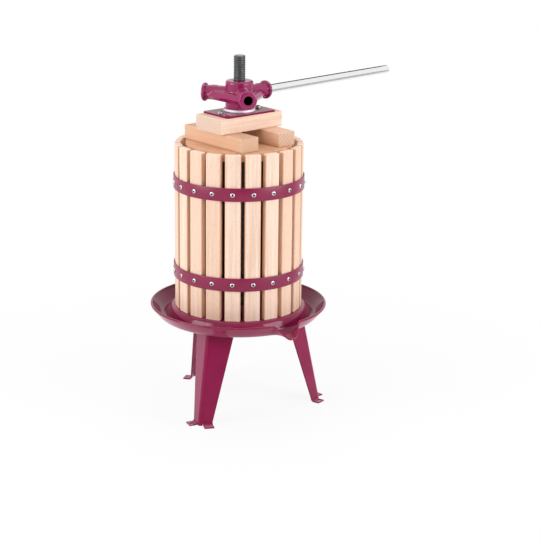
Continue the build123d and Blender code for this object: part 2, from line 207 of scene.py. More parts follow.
class PressStudio(bpy.types.PropertyGroup):
    """Camera and lamps of the stage."""

    camera_place: FloatVectorProperty(
        name="Camera place", description="Where the camera stands",
        default=(-2.0406, -3.1301, 1.4289), subtype="TRANSLATION")
    camera_azimuth: FloatProperty(
        name="Camera azimuth", description="Level direction of the view",
        default=radians(55.80), subtype="ANGLE")
    camera_pitch: FloatProperty(
        name="Camera pitch", description="How far the view looks down",
        default=radians(16.61), subtype="ANGLE")
    camera_roll: FloatProperty(
        name="Camera roll", description="How far the camera leans to its left",
        default=radians(0.61), subtype="ANGLE")
    lens: FloatProperty(
        name="Lens", description="Focal length on a 36 mm sensor",
        default=114.38, subtype="DISTANCE_CAMERA")
    key_power: FloatProperty(
        name="Key power", description="Power of the left softbox",
        default=43.0, subtype="POWER")
    fill_power: FloatProperty(
        name="Fill power", description="Power of the right softbox",
        default=40.0, subtype="POWER")
    top_power: FloatProperty(
        name="Top power", description="Power of the overhead softbox",
        default=16.0, subtype="POWER")
    world_level: FloatProperty(
        name="World level", description="Light from all around",
        default=0.45, min=0.0)


# Shader nodes

NODE_SPACING = 180
SKIN = {"Color": "NodeSocketColor", "Roughness": "NodeSocketFloat", "Height": "NodeSocketFloat"}

# Paints: roughness, scale of the orange peel, shine and satin sheen
PAINTS = {
    "tray_paint": (0.09, 160.0, 0.3, 0.3),
    "leg_paint": (0.16, 170.0, 0.15, 1.0),
    "hoop_paint": (0.3, 220.0, 0.45, 0.3),
    "plate_paint": (0.12, 190.0, 0.12, 0.0),
    "casting_paint": (0.10, 120.0, 0.5, 0.0),
}
SHEEN_ROUGHNESS = 0.4
SHEEN_TINT = (1.0, 0.62, 0.78, 1.0)

# Metals: the colour that each starts from, how much of it, the stain's share of that, roughness and scratches
METALS = {
    "zinc_plating": ("zinc", 1.0, 0.55, 0.24, 0.08),
    # Dull zinc: rougher plating, and its darker colour is painted shade
    "zinc_dull": ("zinc", 0.55, 0.5, 0.36, 0.08),
    "spindle_oiled": ("spindle_steel", 1.0, 0.5, 0.48, 0.06),
    # The cut top is three times lighter: bare steel, with painted light from above
    "spindle_cut_end": ("spindle_steel", 3.0, 1 / 3, 0.4, 0.1),
    "washer_plating": ("washer", 1.0, 0.94, 0.6, 0.05),
    "bar_polish": ("bar_steel", 1.0, 0.94, 0.05, 0.04),
}

# Bumps: strength and depth
PEEL_BUMP = (0.04, 0.4 * MM)
FIBRE_BUMP = (0.2, 0.04 * MM)
RECESS_BUMP = (0.2, 0.1 * MM)
SCRATCH_DEPTH = 0.1 * MM


def put(tree, kind, settings=None, **values):
    """Adds a node, with plain values or links on its inputs."""
    made = tree.nodes.new(kind)
    made.location = (NODE_SPACING * len(tree.nodes), 0)
    for key, value in (settings or {}).items():
        setattr(made, key, value)
    for key, value in values.items():
        feed(tree, made.inputs[key.replace("_", " ")], value)
    return made


def feed(tree, socket, value):
    """Links a socket to another, or sets its value."""
    if isinstance(value, bpy.types.NodeSocket):
        tree.links.new(value, socket)
    else:
        socket.default_value = value


def feed_in_order(tree, node, *values):
    """Feeds a node's first inputs in their order, and gives its result."""
    for socket, value in zip(node.inputs, values):
        feed(tree, socket, value)
    return node.outputs[0]


def cloud(tree, place, scale, detail, band, spread=(0.0, 1.0)):
    """Gives soft noise of one scale, or of one for each axis, with a band of its values spread out."""
    if isinstance(scale, tuple):
        stretched = put(tree, "ShaderNodeVectorMath", {"operation": "MULTIPLY"})
        place, scale = feed_in_order(tree, stretched, place, scale), 1.0
    noise = put(tree, "ShaderNodeTexNoise", Vector=place, Scale=scale, Detail=detail)
    ranged = put(tree, "ShaderNodeMapRange", Value=noise.outputs[0], From_Min=band[0], From_Max=band[1],
                 To_Min=spread[0], To_Max=spread[1])
    return ranged.outputs[0]


def sums(tree, operation, first, second):
    """Gives the result of a math operation on two values or sockets."""
    return feed_in_order(tree, put(tree, "ShaderNodeMath", {"operation": operation}), first, second)


def share_of(tree, value, share):
    """Gives a share of a value."""
    return sums(tree, "MULTIPLY", value, share)


def plus(tree, start, value, share):
    """Gives a start with a share of a value added."""
    return sums(tree, "ADD", start, share_of(tree, value, share))


def tint(tree, factor, first, second):
    """Gives a blend of two colours."""
    made = put(tree, "ShaderNodeMix", {"data_type": "RGBA"})
    for index, value in ((0, factor), (6, first), (7, second)):
        feed(tree, made.inputs[index], value)
    return made.outputs[2]


def colour(value):
    """Gives a colour with its alpha."""
    return (*value, 1.0)


def skin_group(draw, values):
    """Builds the node group that a skin is drawn in, with an input for each value, or finds it."""
    name = draw.__name__.replace("_", " ").title()
    known = bpy.data.node_groups.get(name)
    if known:
        return known
    tree = bpy.data.node_groups.new(name, "ShaderNodeTree")
    inputs = {"Place": "NodeSocketVector"}
    for title, value in values.items():
        inputs[title] = "NodeSocketFloat" if isinstance(value, float) else "NodeSocketColor"
    for way, sockets in (("INPUT", inputs), ("OUTPUT", SKIN)):
        for title, kind in sockets.items():
            tree.interface.new_socket(name=title, in_out=way, socket_type=kind)
    given = put(tree, "NodeGroupInput").outputs
    out = put(tree, "NodeGroupOutput").inputs
    for title, result in zip(SKIN, draw(tree, given)):
        feed(tree, out[title], result)
    return tree


def long_grain(tree, given):
    """Draws the grain seen along a board: broad streaks, fine lines and short rays."""
    place = given["Place"]
    tone = cloud(tree, place, scale=(1.1, 2.3, 1), detail=1.0, band=(0.34, 0.66), spread=(0.0, 0.8))
    streak = cloud(tree, place, scale=(4.0, 120.0, 1), detail=4.0, band=(0.42, 0.68), spread=(0.0, 0.95))
    line = cloud(tree, place, scale=(16.0, 900.0, 1), detail=3.0, band=(0.40, 0.70))
    ray = cloud(tree, place, scale=(100.0, 650.0, 1), detail=1.0, band=(0.62, 0.73), spread=(0.0, 0.5))
    wood = tint(tree, tone, given["Pale"], given["Dark"])
    wood = tint(tree, streak, wood, given["Dark"])
    wood = tint(tree, share_of(tree, line, share=0.22), wood, given["Fleck"])
    wood = tint(tree, ray, wood, given["Fleck"])
    roughness = plus(tree, 0.46, line, share=0.16)
    return wood, roughness, sums(tree, "ADD", line, ray)


def end_grain(tree, given):
    """Draws the growth rings seen on a board's sawn end."""
    place = given["Place"]
    rings = put(tree, "ShaderNodeTexWave", {"wave_type": "RINGS", "rings_direction": "Z"}, Vector=place,
                Scale=44.0, Distortion=1.0, Detail=2.0, Detail_Scale=1.0)
    late = sums(tree, "POWER", rings.outputs[1], 3.0)
    late = share_of(tree, late, given["Contrast"])
    pores = cloud(tree, place, scale=2200.0, detail=2.0, band=(0.45, 0.70))
    wood = tint(tree, late, given["Pale"], given["Dark"])
    wood = tint(tree, share_of(tree, pores, share=0.25), wood, given["Dark"])
    roughness = plus(tree, 0.58, pores, share=0.15)
    return wood, roughness, pores


def paint_film(tree, given):
    """Draws sprayed paint: faint mottling, uneven gloss and orange peel."""
    place = given["Place"]
    mottle = cloud(tree, place, scale=26.0, detail=3.0, band=(0.35, 0.70))
    speck = cloud(tree, place, scale=700.0, detail=2.0, band=(0.35, 0.75))
    film = tint(tree, mottle, given["Thin"], given["Thick"])
    film = tint(tree, share_of(tree, speck, share=0.25), film, given["Thick"])
    peel = put(tree, "ShaderNodeTexNoise", Vector=place, Scale=given["Peel Scale"], Detail=1.5)
    roughness = plus(tree, given["Roughness"], mottle, share=0.07)
    return film, roughness, peel.outputs[0]


def metal_skin(tree, given):
    """Draws bare or plated metal: cloudy tone, fine scratches and uneven gloss."""
    place = given["Place"]
    cloudy = cloud(tree, place, scale=90.0, detail=4.0, band=(0.38, 0.72))
    scratch = cloud(tree, place, scale=(300.0, 300.0, 2600.0), detail=2.0, band=(0.40, 0.70))
    skin = tint(tree, share_of(tree, cloudy, share=0.5), given["Metal"], given["Stain"])
    roughness = plus(tree, given["Roughness"], cloudy, share=0.12)
    roughness = plus(tree, roughness, scratch, share=0.06)
    return skin, roughness, scratch


def juice_stain(tree, given):
    """Draws painted shade inside the basket: pale wood above a ragged line, painted dark shade below it."""
    place = given["Place"]
    streak = cloud(tree, place, scale=(500.0, 500.0, 6.0), detail=3.0, band=(0.35, 0.70))
    height = put(tree, "ShaderNodeSeparateXYZ", Vector=place).outputs["Z"]
    ragged = plus(tree, height, streak, share=20.0 * MM)
    above = sums(tree, "SUBTRACT", ragged, given["Line"])
    # Below the ragged line the wood takes the painted shade
    in_shade = put(tree, "ShaderNodeMapRange", Value=above, From_Min=-30.0 * MM, From_Max=0.0,
              To_Min=1.0, To_Max=0.0)
    wood = tint(tree, share_of(tree, streak, share=0.15), given["Pale"], given["Dark"])
    wood = tint(tree, in_shade.outputs[0], wood, given["Dark"])
    roughness = plus(tree, 0.5, streak, share=0.16)
    return wood, roughness, streak


def principled(material):
    """Gives the Principled shader of a new material."""
    material.use_nodes = True
    return next(node for node in material.node_tree.nodes if node.type == "BSDF_PRINCIPLED")


def coated(name, draw, place, values, bump, **shader):
    """Makes a material: a skin on a Principled shader, with a bump of some strength and depth."""
    known = bpy.data.materials.get(name)
    if known:
        return known
    made = bpy.data.materials.new(name)
    surface = principled(made)
    tree = made.node_tree
    if place == "grain":
        spot = put(tree, "ShaderNodeUVMap", {"uv_map": "grain"}).outputs[0]
    else:
        spot = put(tree, "ShaderNodeTexCoord").outputs["Object"]
    skin = put(tree, "ShaderNodeGroup", {"node_tree": skin_group(draw, values)})
    feed(tree, skin.inputs["Place"], spot)
    for title, value in values.items():
        feed(tree, skin.inputs[title], value)
    strength, depth = bump
    bumped = put(tree, "ShaderNodeBump", Strength=strength, Distance=depth, Height=skin.outputs["Height"])
    feed(tree, surface.inputs["Base Color"], skin.outputs["Color"])
    feed(tree, surface.inputs["Roughness"], skin.outputs["Roughness"])
    feed(tree, surface.inputs["Normal"], bumped.outputs[0])
    for title, value in shader.items():
        feed(tree, surface.inputs[title.replace("_", " ")], value)
    made.diffuse_color = next(iter(values.values()))
    return made


def paint(name):
    """Makes one of the burgundy paints."""
    colours = bpy.context.scene.press_colours
    roughness, peel, shine, sheen = PAINTS[name]
    thin, thick = colours.burgundy, colours.burgundy_deep
    if name == "casting_paint":
        thin, thick = colours.casting, colours.casting_deep
    values = {"Thin": colour(thin), "Thick": colour(thick), "Roughness": roughness, "Peel Scale": peel}
    return coated(name, paint_film, "object", values, PEEL_BUMP, Specular_IOR_Level=shine,
                  Sheen_Weight=sheen, Sheen_Roughness=SHEEN_ROUGHNESS, Sheen_Tint=SHEEN_TINT)


def beech(warmth=0.0, tone=1.0, shaded_end_tone=1.0, rings=0.10):
    """Makes beech of some warmth in its two cuts: along the grain, and across its end with rings, whose tone
    may be darkened as painted shade.
    """
    colours = bpy.context.scene.press_colours
    early = Vector(colours.beech_pale).lerp(Vector(colours.warm_pale), warmth)
    late = Vector(colours.beech_dark).lerp(Vector(colours.warm_dark), warmth)
    fleck = colour(colours.beech_fleck)
    title = f"beech_{warmth:.2f}_{tone:.2f}"
    face = {"Pale": colour(early * tone), "Dark": colour(late * tone), "Fleck": fleck}
    end = {"Pale": colour(early * shaded_end_tone), "Dark": fleck, "Contrast": rings}
    return [
        coated(f"{title}_face", long_grain, "grain", face, FIBRE_BUMP, Specular_IOR_Level=0.3),
        coated(f"{title}_end_{rings:.2f}", end_grain, "grain", end, FIBRE_BUMP, Specular_IOR_Level=0.25),
    ]


def stained_beech():
    """Makes the beech inside the basket, with painted dark shade up to the boards."""
    colours = bpy.context.scene.press_colours
    values = {"Pale": colour(colours.beech_pale), "Dark": colour(colours.juice),
              "Line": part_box("board_left")[0][2]}
    return coated("beech_stained", juice_stain, "object", values, FIBRE_BUMP, Specular_IOR_Level=0.3)


def metal(name):
    """Makes one of the bare or plated metals."""
    source, share, stain, roughness, scratch = METALS[name]
    shade = [share * part for part in getattr(bpy.context.scene.press_colours, source)]
    values = {"Metal": colour(shade), "Stain": colour([stain * part for part in shade]),
              "Roughness": roughness}
    return coated(name, metal_skin, "object", values, (scratch, SCRATCH_DEPTH), Metallic=1.0)


def recess_shade():
    """Makes the painted shade inside screw recesses and sockets, a dull and nearly black skin."""
    shade = bpy.context.scene.press_colours.recess
    values = {"Metal": colour(shade), "Stain": colour([2.0 * part for part in shade]), "Roughness": 0.8}
    return coated("recess_dull", metal_skin, "object", values, RECESS_BUMP, Specular_IOR_Level=0.1)


# Mesh forms

# How far the grain of one board is shifted from that of the board before it
GRAIN_SHIFT = (1.37, 0.83)
# How far the grain on a board's narrow sides is shifted from that on its faces
SIDE_SHIFT = 0.5
# How nearly a face has to look in a direction to count as facing it, and as a board's sawn end
FACING = 0.9
END_FACING = 0.7


def add_ring(shape, corners):
    """Adds a row of corners to a mesh."""
    return [shape.verts.new(corner) for corner in corners]


def join_rows(shape, first, second, closed):
    """Joins two rows of corners with faces, or a row with a single corner."""
    count = max(len(first), len(second))
    for index in range(count if closed else count - 1):
        after = (index + 1) % count
        if len(first) == 1:
            shape.faces.new((first[0], second[after], second[index]))
        elif len(second) == 1:
            shape.faces.new((first[index], first[after], second[0]))
        else:
            shape.faces.new((first[index], first[after], second[after], second[index]))


def join_all(shape, rows, closed):
    """Joins each row of corners with the next."""
    for first, second in zip(rows, rows[1:]):
        join_rows(shape, first, second, closed)


def turn_profile(shape, profile, steps, place=Matrix(), hollow=False):
    """Turns a profile of radius and height about the third axis of a frame."""
    rows = []
    for radius, height in profile:
        corners = regular(steps, radius) if radius > 0 else [(0, 0)]
        rows.append(add_ring(shape, [place @ Vector((*corner, height)) for corner in corners]))
    join_all(shape, rows + rows[:1] if hollow else rows, True)
    return rows


def add_rod(shape, radius, low, high, steps, place=Matrix()):
    """Adds a plain rod, such as a tool that drills a hole."""
    turn_profile(shape, [(0, low), (radius, low), (radius, high), (0, high)], steps, place)


def add_prism(shape, outline, place, height):
    """Adds an outline that is drawn out along the third axis of a frame."""
    lower, upper = (add_ring(shape, [place @ Vector((*corner, level)) for corner in outline])
                    for level in (0, height))
    join_rows(shape, lower, upper, True)
    shape.faces.new(lower[::-1])
    shape.faces.new(upper)


def regular(count, radius, turn=0.0):
    """Gives the corners of a regular outline, turned by some degrees."""
    angles = [radians(turn) + step * tau / count for step in range(count)]
    return [(radius * cos(angle), radius * sin(angle)) for angle in angles]


def hexagon(flats):
    """Gives a hexagon of a size across its flats."""
    return regular(6, flats / 2 / cos(pi / 6))


def rounded_rectangle(length, width, corner, steps=8):
    """Gives the outline of a rectangle with round corners."""
    outline = []
    for quarter in range(4):
        middle_x = (length / 2 - corner) * (1 if quarter in (0, 3) else -1)
        middle_y = (width / 2 - corner) * (1 if quarter in (0, 1) else -1)
        for step in range(steps + 1):
            turn = (quarter + step / steps) * pi / 2
            outline.append((middle_x + corner * cos(turn), middle_y + corner * sin(turn)))
    return outline


def arc(middle, radius, start, end, steps):
    """Gives points on an arc, its angles in degrees."""
    angles = [radians(start + (end - start) * step / steps) for step in range(steps + 1)]
    return [(middle[0] + radius * cos(angle), middle[1] + radius * sin(angle)) for angle in angles]


def eased_ring(inner, outer, low, high, ease):
    """Gives the closed profile of a flat ring with soft edges."""
    middles = ((outer - ease, low + ease), (outer - ease, high - ease),
               (inner + ease, high - ease), (inner + ease, low + ease))
    profile = []
    for quarter, middle in enumerate(middles):
        profile += arc(middle, ease, 90 * quarter - 90, 90 * quarter, steps=3)
    return profile


def add_board(shape, node, axes):
    """Adds a sawn board that fills a solid's reach along three axes."""
    low, high = zip(*[span(node, axis) for axis in axes])
    corners = bmesh.ops.create_cube(shape, size=1.0)["verts"]
    for corner in corners:
        parts = [low[side] + (0.5 + corner.co[side]) * (high[side] - low[side]) for side in range(3)]
        corner.co = sum((axis * part for axis, part in zip(axes, parts)), Vector())


def lay_grain(shape, axes, number, pith=(0.05, -0.12)):
    """Lays the grain along the first of three axes, and marks the sawn ends, with rings round the pith."""
    grain = shape.loops.layers.uv.new("grain")
    shift = Vector([part * number for part in GRAIN_SHIFT])
    middle = sum((corner.co for corner in shape.verts), Vector()) / len(shape.verts)
    centre = [axis.dot(middle) for axis in axes]
    shape.normal_update()
    for face in shape.faces:
        facing = [abs(face.normal.dot(axis)) for axis in axes]
        end = facing[0] > END_FACING
        face.material_index = int(end)
        for loop in face.loops:
            along, across, deep = [axis.dot(loop.vert.co) for axis in axes]
            if end:
                loop[grain].uv = (across - centre[1] - pith[0], deep - centre[2] - pith[1])
            elif facing[2] > facing[1]:
                loop[grain].uv = Vector((along, across)) + shift
            else:
                loop[grain].uv = Vector((along, deep + SIDE_SHIFT)) + shift


def settle(name, shape, body=None, nodes=(), finishes=(), crease=40):
    """Turns a mesh into a piece that rides on a body and stands for its solids, or into a loose form."""
    bmesh.ops.recalc_face_normals(shape, faces=shape.faces)
    mesh = bpy.data.meshes.new(name)
    shape.to_mesh(mesh)
    shape.free()
    piece = bpy.data.objects.new(name, mesh)
    bpy.context.scene.collection.objects.link(piece)
    for finish in finishes:
        mesh.materials.append(finish)
    soften(mesh, crease)
    if body:
        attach(piece, body)
        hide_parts(*nodes)
    return piece


def refinish(node, finish):
    """Gives a finish to a solid that keeps its shape."""
    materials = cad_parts[node].data.materials
    materials.clear()
    materials.append(finish)


def soften(mesh, crease):
    """Shades a mesh smooth, apart from edges sharper than some degrees."""
    mesh.shade_smooth()
    mesh.set_sharp_from_angle(angle=radians(crease))


def ease_edges(piece, width, steps=3, angle=35):
    """Rounds the hard edges of a piece."""
    ease = piece.modifiers.new("eased edges", "BEVEL")
    ease.width = width
    ease.segments = steps
    ease.limit_method = "ANGLE"
    ease.angle_limit = radians(angle)
    ease.harden_normals = True


def bake(piece):
    """Makes a piece's modifiers part of its mesh."""
    bpy.context.view_layer.update()
    shaped = piece.evaluated_get(bpy.context.evaluated_depsgraph_get())
    mesh = bpy.data.meshes.new_from_object(shaped)
    if not mesh.polygons:
        raise RuntimeError(f"{piece.name} lost its faces")
    piece.modifiers.clear()
    piece.data = mesh


def cut(piece, tool_shape):
    """Cuts a tool's mesh out of a piece."""
    tool = settle("cutting_tool", tool_shape)
    slice_off = piece.modifiers.new("cut", "BOOLEAN")
    slice_off.operation = "DIFFERENCE"
    slice_off.solver = "EXACT"
    slice_off.object = tool
    bake(piece)
    bpy.data.objects.remove(tool)


def drill(piece, radius, low, high, crease, steps=40, place=Matrix()):
    """Drills a round hole through a piece, and shades it again."""
    tool = bmesh.new()
    add_rod(tool, radius, low, high, steps, place)
    cut(piece, tool)
    soften(piece.data, crease)


def pan_head(radius, height):
    """Makes the mesh of a pan head with a cross recess, standing on its seat."""
    flat, rim, crown_steps = 0.55, 0.45, 8
    arm_length, arm_width, arm_corner = 1.15 * radius, 0.5 * radius, 0.12 * radius
    recess_floor, recess_top, recess_reach = 0.25 * height, 0.9 * height, 0.6 * radius
    underside = -0.5
    shape = bmesh.new()
    turns = [radians(step * 90 / crown_steps) for step in range(crown_steps + 1)]
    crown = [(radius * (flat + rim * cos(turn)), height * (rim + flat * sin(turn))) for turn in turns]
    turn_profile(shape, [(0, 0), (radius, 0), *crown, (0, height)], steps=28)
    head = settle("pan_head", shape)
    for turn in (0, 90):
        arm = axes_at(UP * recess_floor, heading(turn), UP)
        cross = bmesh.new()
        add_prism(cross, rounded_rectangle(arm_length, arm_width, arm_corner, steps=2), arm, height)
        cut(head, cross)
    mesh = head.data
    # Faces inside the cross recess take the painted shade
    for face in mesh.polygons:
        inside = Vector(face.center[:2]).length < recess_reach and face.center.z < recess_top
        face.material_index = int(inside and face.normal.z > underside)
    bpy.data.objects.remove(head)
    return mesh


def stamp(shape, mesh, place):
    """Adds a copy of a mesh at a place."""
    before = set(shape.verts)
    shape.from_mesh(mesh)
    for corner in shape.verts:
        if corner not in before:
            corner.co = place @ corner.co


def smooth_step(share):
    """Gives a share that starts and ends softly."""
    return share * share * (3 - 2 * share)


# Pieces


class PRESS_OT_tray(bpy.types.Operator):
    """Juice tray: raised floor, gutter, flared wall, rolled rim and drawn spout"""

    bl_idname = "press.tray"
    bl_label = "Juice Tray"

    bore = 10.5 * MM
    floor_rings = (60.0 * MM, 110.0 * MM, 138.0 * MM)
    floor_edge = 149.5 * MM
    gutter_edge = 165.0 * MM
    gutter_steps = 12
    gutter_lift = 0.5 * MM
    wall_foot = 173.0 * MM
    wall_steps = 10
    wall_curve = 0.3
    rim_radius = 197.3 * MM
    bead = 2.8 * MM
    bead_turns = range(165, -130, -15)
    spout_half_width = 37.0 * MM
    spout_reach = 218.6 * MM
    spout_fall = 1.5 * MM
    spout_bed = 0.1
    lip_lean = 0.6
    lip_height = 0.9

    def upper_line(self, floor, gutter, rim):
        """Gives the section's upper line from the bore to the rim."""
        line = [(radius, floor) for radius in (self.bore, *self.floor_rings)]
        for step in range(self.gutter_steps + 1):
            share = step / self.gutter_steps
            line.append((self.floor_edge + (self.gutter_edge - self.floor_edge) * share,
                         floor + (gutter - floor) * smooth_step(share)))
        line.append(((self.gutter_edge + self.wall_foot) / 2, gutter))
        for step in range(self.wall_steps + 1):
            share = step / self.wall_steps
            rise = share * share / (self.wall_curve + (1 - self.wall_curve) * share)
            line.append((self.wall_foot + (self.rim_radius - self.wall_foot) * share,
                         gutter + (rim - gutter) * rise))
        return line

    def section(self, sheet, floor, gutter, rim):
        """Gives the closed section, each point with its offset from the upper line's base point."""
        line = self.upper_line(floor, gutter, rim)
        points = [(base, (0, 0)) for base in line]
        points += [(line[-1], (self.bead * cos(radians(turn)), self.bead * sin(radians(turn))))
                   for turn in self.bead_turns]
        for index in range(len(line) - 1, -1, -1):
            before = line[max(index - 1, 0)]
            after = line[min(index + 1, len(line) - 1)]
            slope = Vector((after[0] - before[0], after[1] - before[1])).normalized()
            points.append((line[index], (slope.y * sheet, -slope.x * sheet)))
        return points

    def placed(self, base, offset, azimuth, gutter, sheet):
        """Gives a point of the section at an azimuth, drawn out where the spout is."""
        share = max(0.0, (base[0] - self.wall_foot) / (self.rim_radius - self.wall_foot))
        away = abs((azimuth - SPOUT_AZIMUTH + 180) % 360 - 180)
        side = min(1.0, self.rim_radius * radians(away) / self.spout_half_width)
        depth = max(0.0, min(1.0, (side - self.spout_bed) / (1 - self.spout_bed)))
        drawn = 1 - smooth_step(depth) if share > 0 else 0.0
        mouth_radius = self.wall_foot + (self.spout_reach - self.wall_foot) * share
        mouth_height = gutter - self.spout_fall * share
        lean = Vector(offset)
        level = Vector((lean.x * self.lip_lean, min(lean.y, self.lip_height * sheet)))
        lean = lean.lerp(level, drawn)
        radius = base[0] + (mouth_radius - base[0]) * drawn + lean.x
        height = base[1] + (mouth_height - base[1]) * drawn + lean.y
        return heading(azimuth) * radius + UP * height

    def execute(self, context):
        sheet = context.scene.press_sizes.sheet
        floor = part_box("lock_nut")[0][2]
        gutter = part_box("tray")[0][2] + sheet + self.spout_fall + self.gutter_lift
        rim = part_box("tray")[1][2] - self.bead
        # Half a degree to a step at the spout, and two degrees elsewhere
        azimuths = [SPOUT_AZIMUTH + turn / 2 for turn in range(-28, 28)]
        azimuths += [SPOUT_AZIMUTH + turn for turn in range(14, 346, 2)]
        shape = bmesh.new()
        rows = [
            add_ring(shape, [self.placed(base, offset, azimuth, gutter, sheet) for azimuth in azimuths])
            for base, offset in self.section(sheet, floor, gutter, rim)
        ]
        join_all(shape, rows + rows[:1], True)
        settle("tray_pressing", shape, "stand", ["tray"], [paint("tray_paint")],
               crease=60)
        return {"FINISHED"}


class PRESS_OT_legs(bpy.types.Operator):
    """Legs: tapered angle sheet with a bent corner, foot tabs and top tabs"""

    bl_idname = "press.legs"
    bl_label = "Legs"

    foot_corner = 192.0 * MM
    foot_flange = 30.0 * MM
    top_corner = 145.0 * MM
    top_flange = 67.0 * MM
    # Places across a flange, as shares of it: the foot tabs start at the second, the top tabs at the third
    flange_shares = (0.0, 0.05, 0.45, 0.62, 0.9, 0.95, 1.0)
    bend_steps = 6
    height_steps = 6
    foot_tab = (4.0 * MM, 29.0 * MM)
    foot_tab_length = 19.0 * MM
    top_tab_length = 26.0 * MM
    tab_turns = range(15, 91, 15)
    tab_end = 3.0 * MM
    corner_gap = 0.3
    hole_radius = 4.25 * MM
    edge = 0.6 * MM

    def flange_way(self, azimuth, side):
        """Gives the level direction in which a flange runs from the corner."""
        return heading(azimuth + side * (180 - LEG_HALF_ANGLE))

    def flange_out(self, azimuth, side):
        """Gives the level direction that a flange's outer face looks in."""
        return heading(azimuth + side * (90 - LEG_HALF_ANGLE))

    def columns(self):
        """Gives the places across the sheet: a side, a share of the flange, and a share of the bend."""
        left = [(-1, share, None) for share in reversed(self.flange_shares)]
        right = [(1, share, None) for share in self.flange_shares]
        middle = [(0, 0.0, step / self.bend_steps) for step in range(1, self.bend_steps)]
        return left + middle + right

    def outer_point(self, azimuth, column, share, bend):
        """Gives a point on the outer face, at a share of the leg's height."""
        side, reach, turn = column
        corner = heading(azimuth) * (self.foot_corner + (self.top_corner - self.foot_corner) * share)
        flange = self.foot_flange + (self.top_flange - self.foot_flange) * share
        half = radians(LEG_HALF_ANGLE)
        setback = bend / (sin(half) / cos(half))
        if side:
            return corner + self.flange_way(azimuth, side) * (setback + reach * (flange - setback))
        middle = corner - heading(azimuth) * (bend / sin(half))
        spread = 90 - LEG_HALF_ANGLE
        return middle + heading(azimuth - spread + 2 * spread * turn) * bend

    def execute(self, context):
        for name, azimuth in LEG_AZIMUTHS.items():
            self.build(name, azimuth, context.scene.press_sizes)
        return {"FINISHED"}

    def build(self, name, azimuth, sizes):
        """Builds one leg."""
        low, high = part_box(name)[0][2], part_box(name)[1][2]
        sheet = sizes.leg_sheet
        columns = self.columns()
        foot = low + sheet + sizes.tab_bend
        head = high - sizes.tab_bend
        shape = bmesh.new()
        rows = []
        for step in range(self.height_steps + 1):
            level = foot + (head - foot) * step / self.height_steps
            share = (level - low) / (high - low)
            rows.append(add_ring(shape, [
                self.outer_point(azimuth, column, share, sizes.leg_bend) + UP * level for column in columns]))
        join_all(shape, rows, False)
        self.add_tabs(shape, azimuth, columns, rows[0], True, sizes.tab_bend)
        self.add_tabs(shape, azimuth, columns, rows[-1], False, sizes.tab_bend)
        strip = self.flange_shares[1]
        middle = [index for index, column in enumerate(columns) if column[0] == 0 or column[1] <= strip]
        level = low + self.corner_gap * sheet
        last = add_ring(shape, [
            self.outer_point(azimuth, columns[index], 0.0, sizes.leg_bend) + UP * level for index in middle])
        join_rows(shape, [rows[0][index] for index in middle], last, False)
        leg = settle(f"{name}_sheet", shape, "stand", [name], [paint("leg_paint")],
                     crease=50)
        self.face_outwards(leg, azimuth)
        thick = leg.modifiers.new("sheet", "SOLIDIFY")
        thick.thickness = sheet
        thick.offset = -1.0
        thick.use_even_offset = True
        bake(leg)
        drill(leg, self.hole_radius, -sheet, 2 * sheet, crease=40, steps=32,
              place=Matrix.Translation(self.hole_place(azimuth)))
        ease_edges(leg, self.edge, steps=2, angle=50)

    def hole_place(self, azimuth):
        """Gives the middle of the foot hole, which is in one tab of each foot."""
        along = sum(self.foot_tab) / 2
        corner = heading(azimuth) * self.foot_corner
        return (corner + self.flange_way(azimuth, -1) * along
                + self.flange_out(azimuth, -1) * self.foot_tab_length / 2)

    def add_tabs(self, shape, azimuth, columns, row, foot, bend):
        """Adds the two tabs at one end of the sheet, each rolled off its flange."""
        length = self.foot_tab_length if foot else self.top_tab_length
        start = self.flange_shares[1 if foot else 2]
        out = 1 if foot else -1
        path = [(bend * (1 - cos(radians(turn))), bend * sin(radians(turn))) for turn in self.tab_turns]
        path += [(length - self.tab_end, bend), (length, bend)]
        for side in (-1, 1):
            wanted = [index for index, (place, share, _) in enumerate(columns)
                      if place == side and share >= start]
            outward = self.flange_out(azimuth, side) * out
            rows = [[row[index] for index in wanted]]
            for away, drop in path:
                rows.append(add_ring(shape, [
                    row[index].co + outward * away - UP * out * drop for index in wanted]))
            join_all(shape, rows, False)

    def face_outwards(self, leg, azimuth):
        """Turns the sheet's faces to look away from the spindle."""
        shape = bmesh.new()
        shape.from_mesh(leg.data)
        largest = max(shape.faces, key=lambda face: face.calc_area())
        if largest.normal.dot(heading(azimuth)) < 0:
            bmesh.ops.reverse_faces(shape, faces=shape.faces)
        shape.to_mesh(leg.data)
        shape.free()


class PRESS_OT_leg_fasteners(bpy.types.Operator):
    """Leg fasteners: hexagon bolts and nuts under the tray"""

    bl_idname = "press.leg_fasteners"
    bl_label = "Leg Bolts and Nuts"

    def execute(self, context):
        for node in ("leg_bolts", "leg_nuts"):
            refinish(node, metal("zinc_dull"))
        return {"FINISHED"}


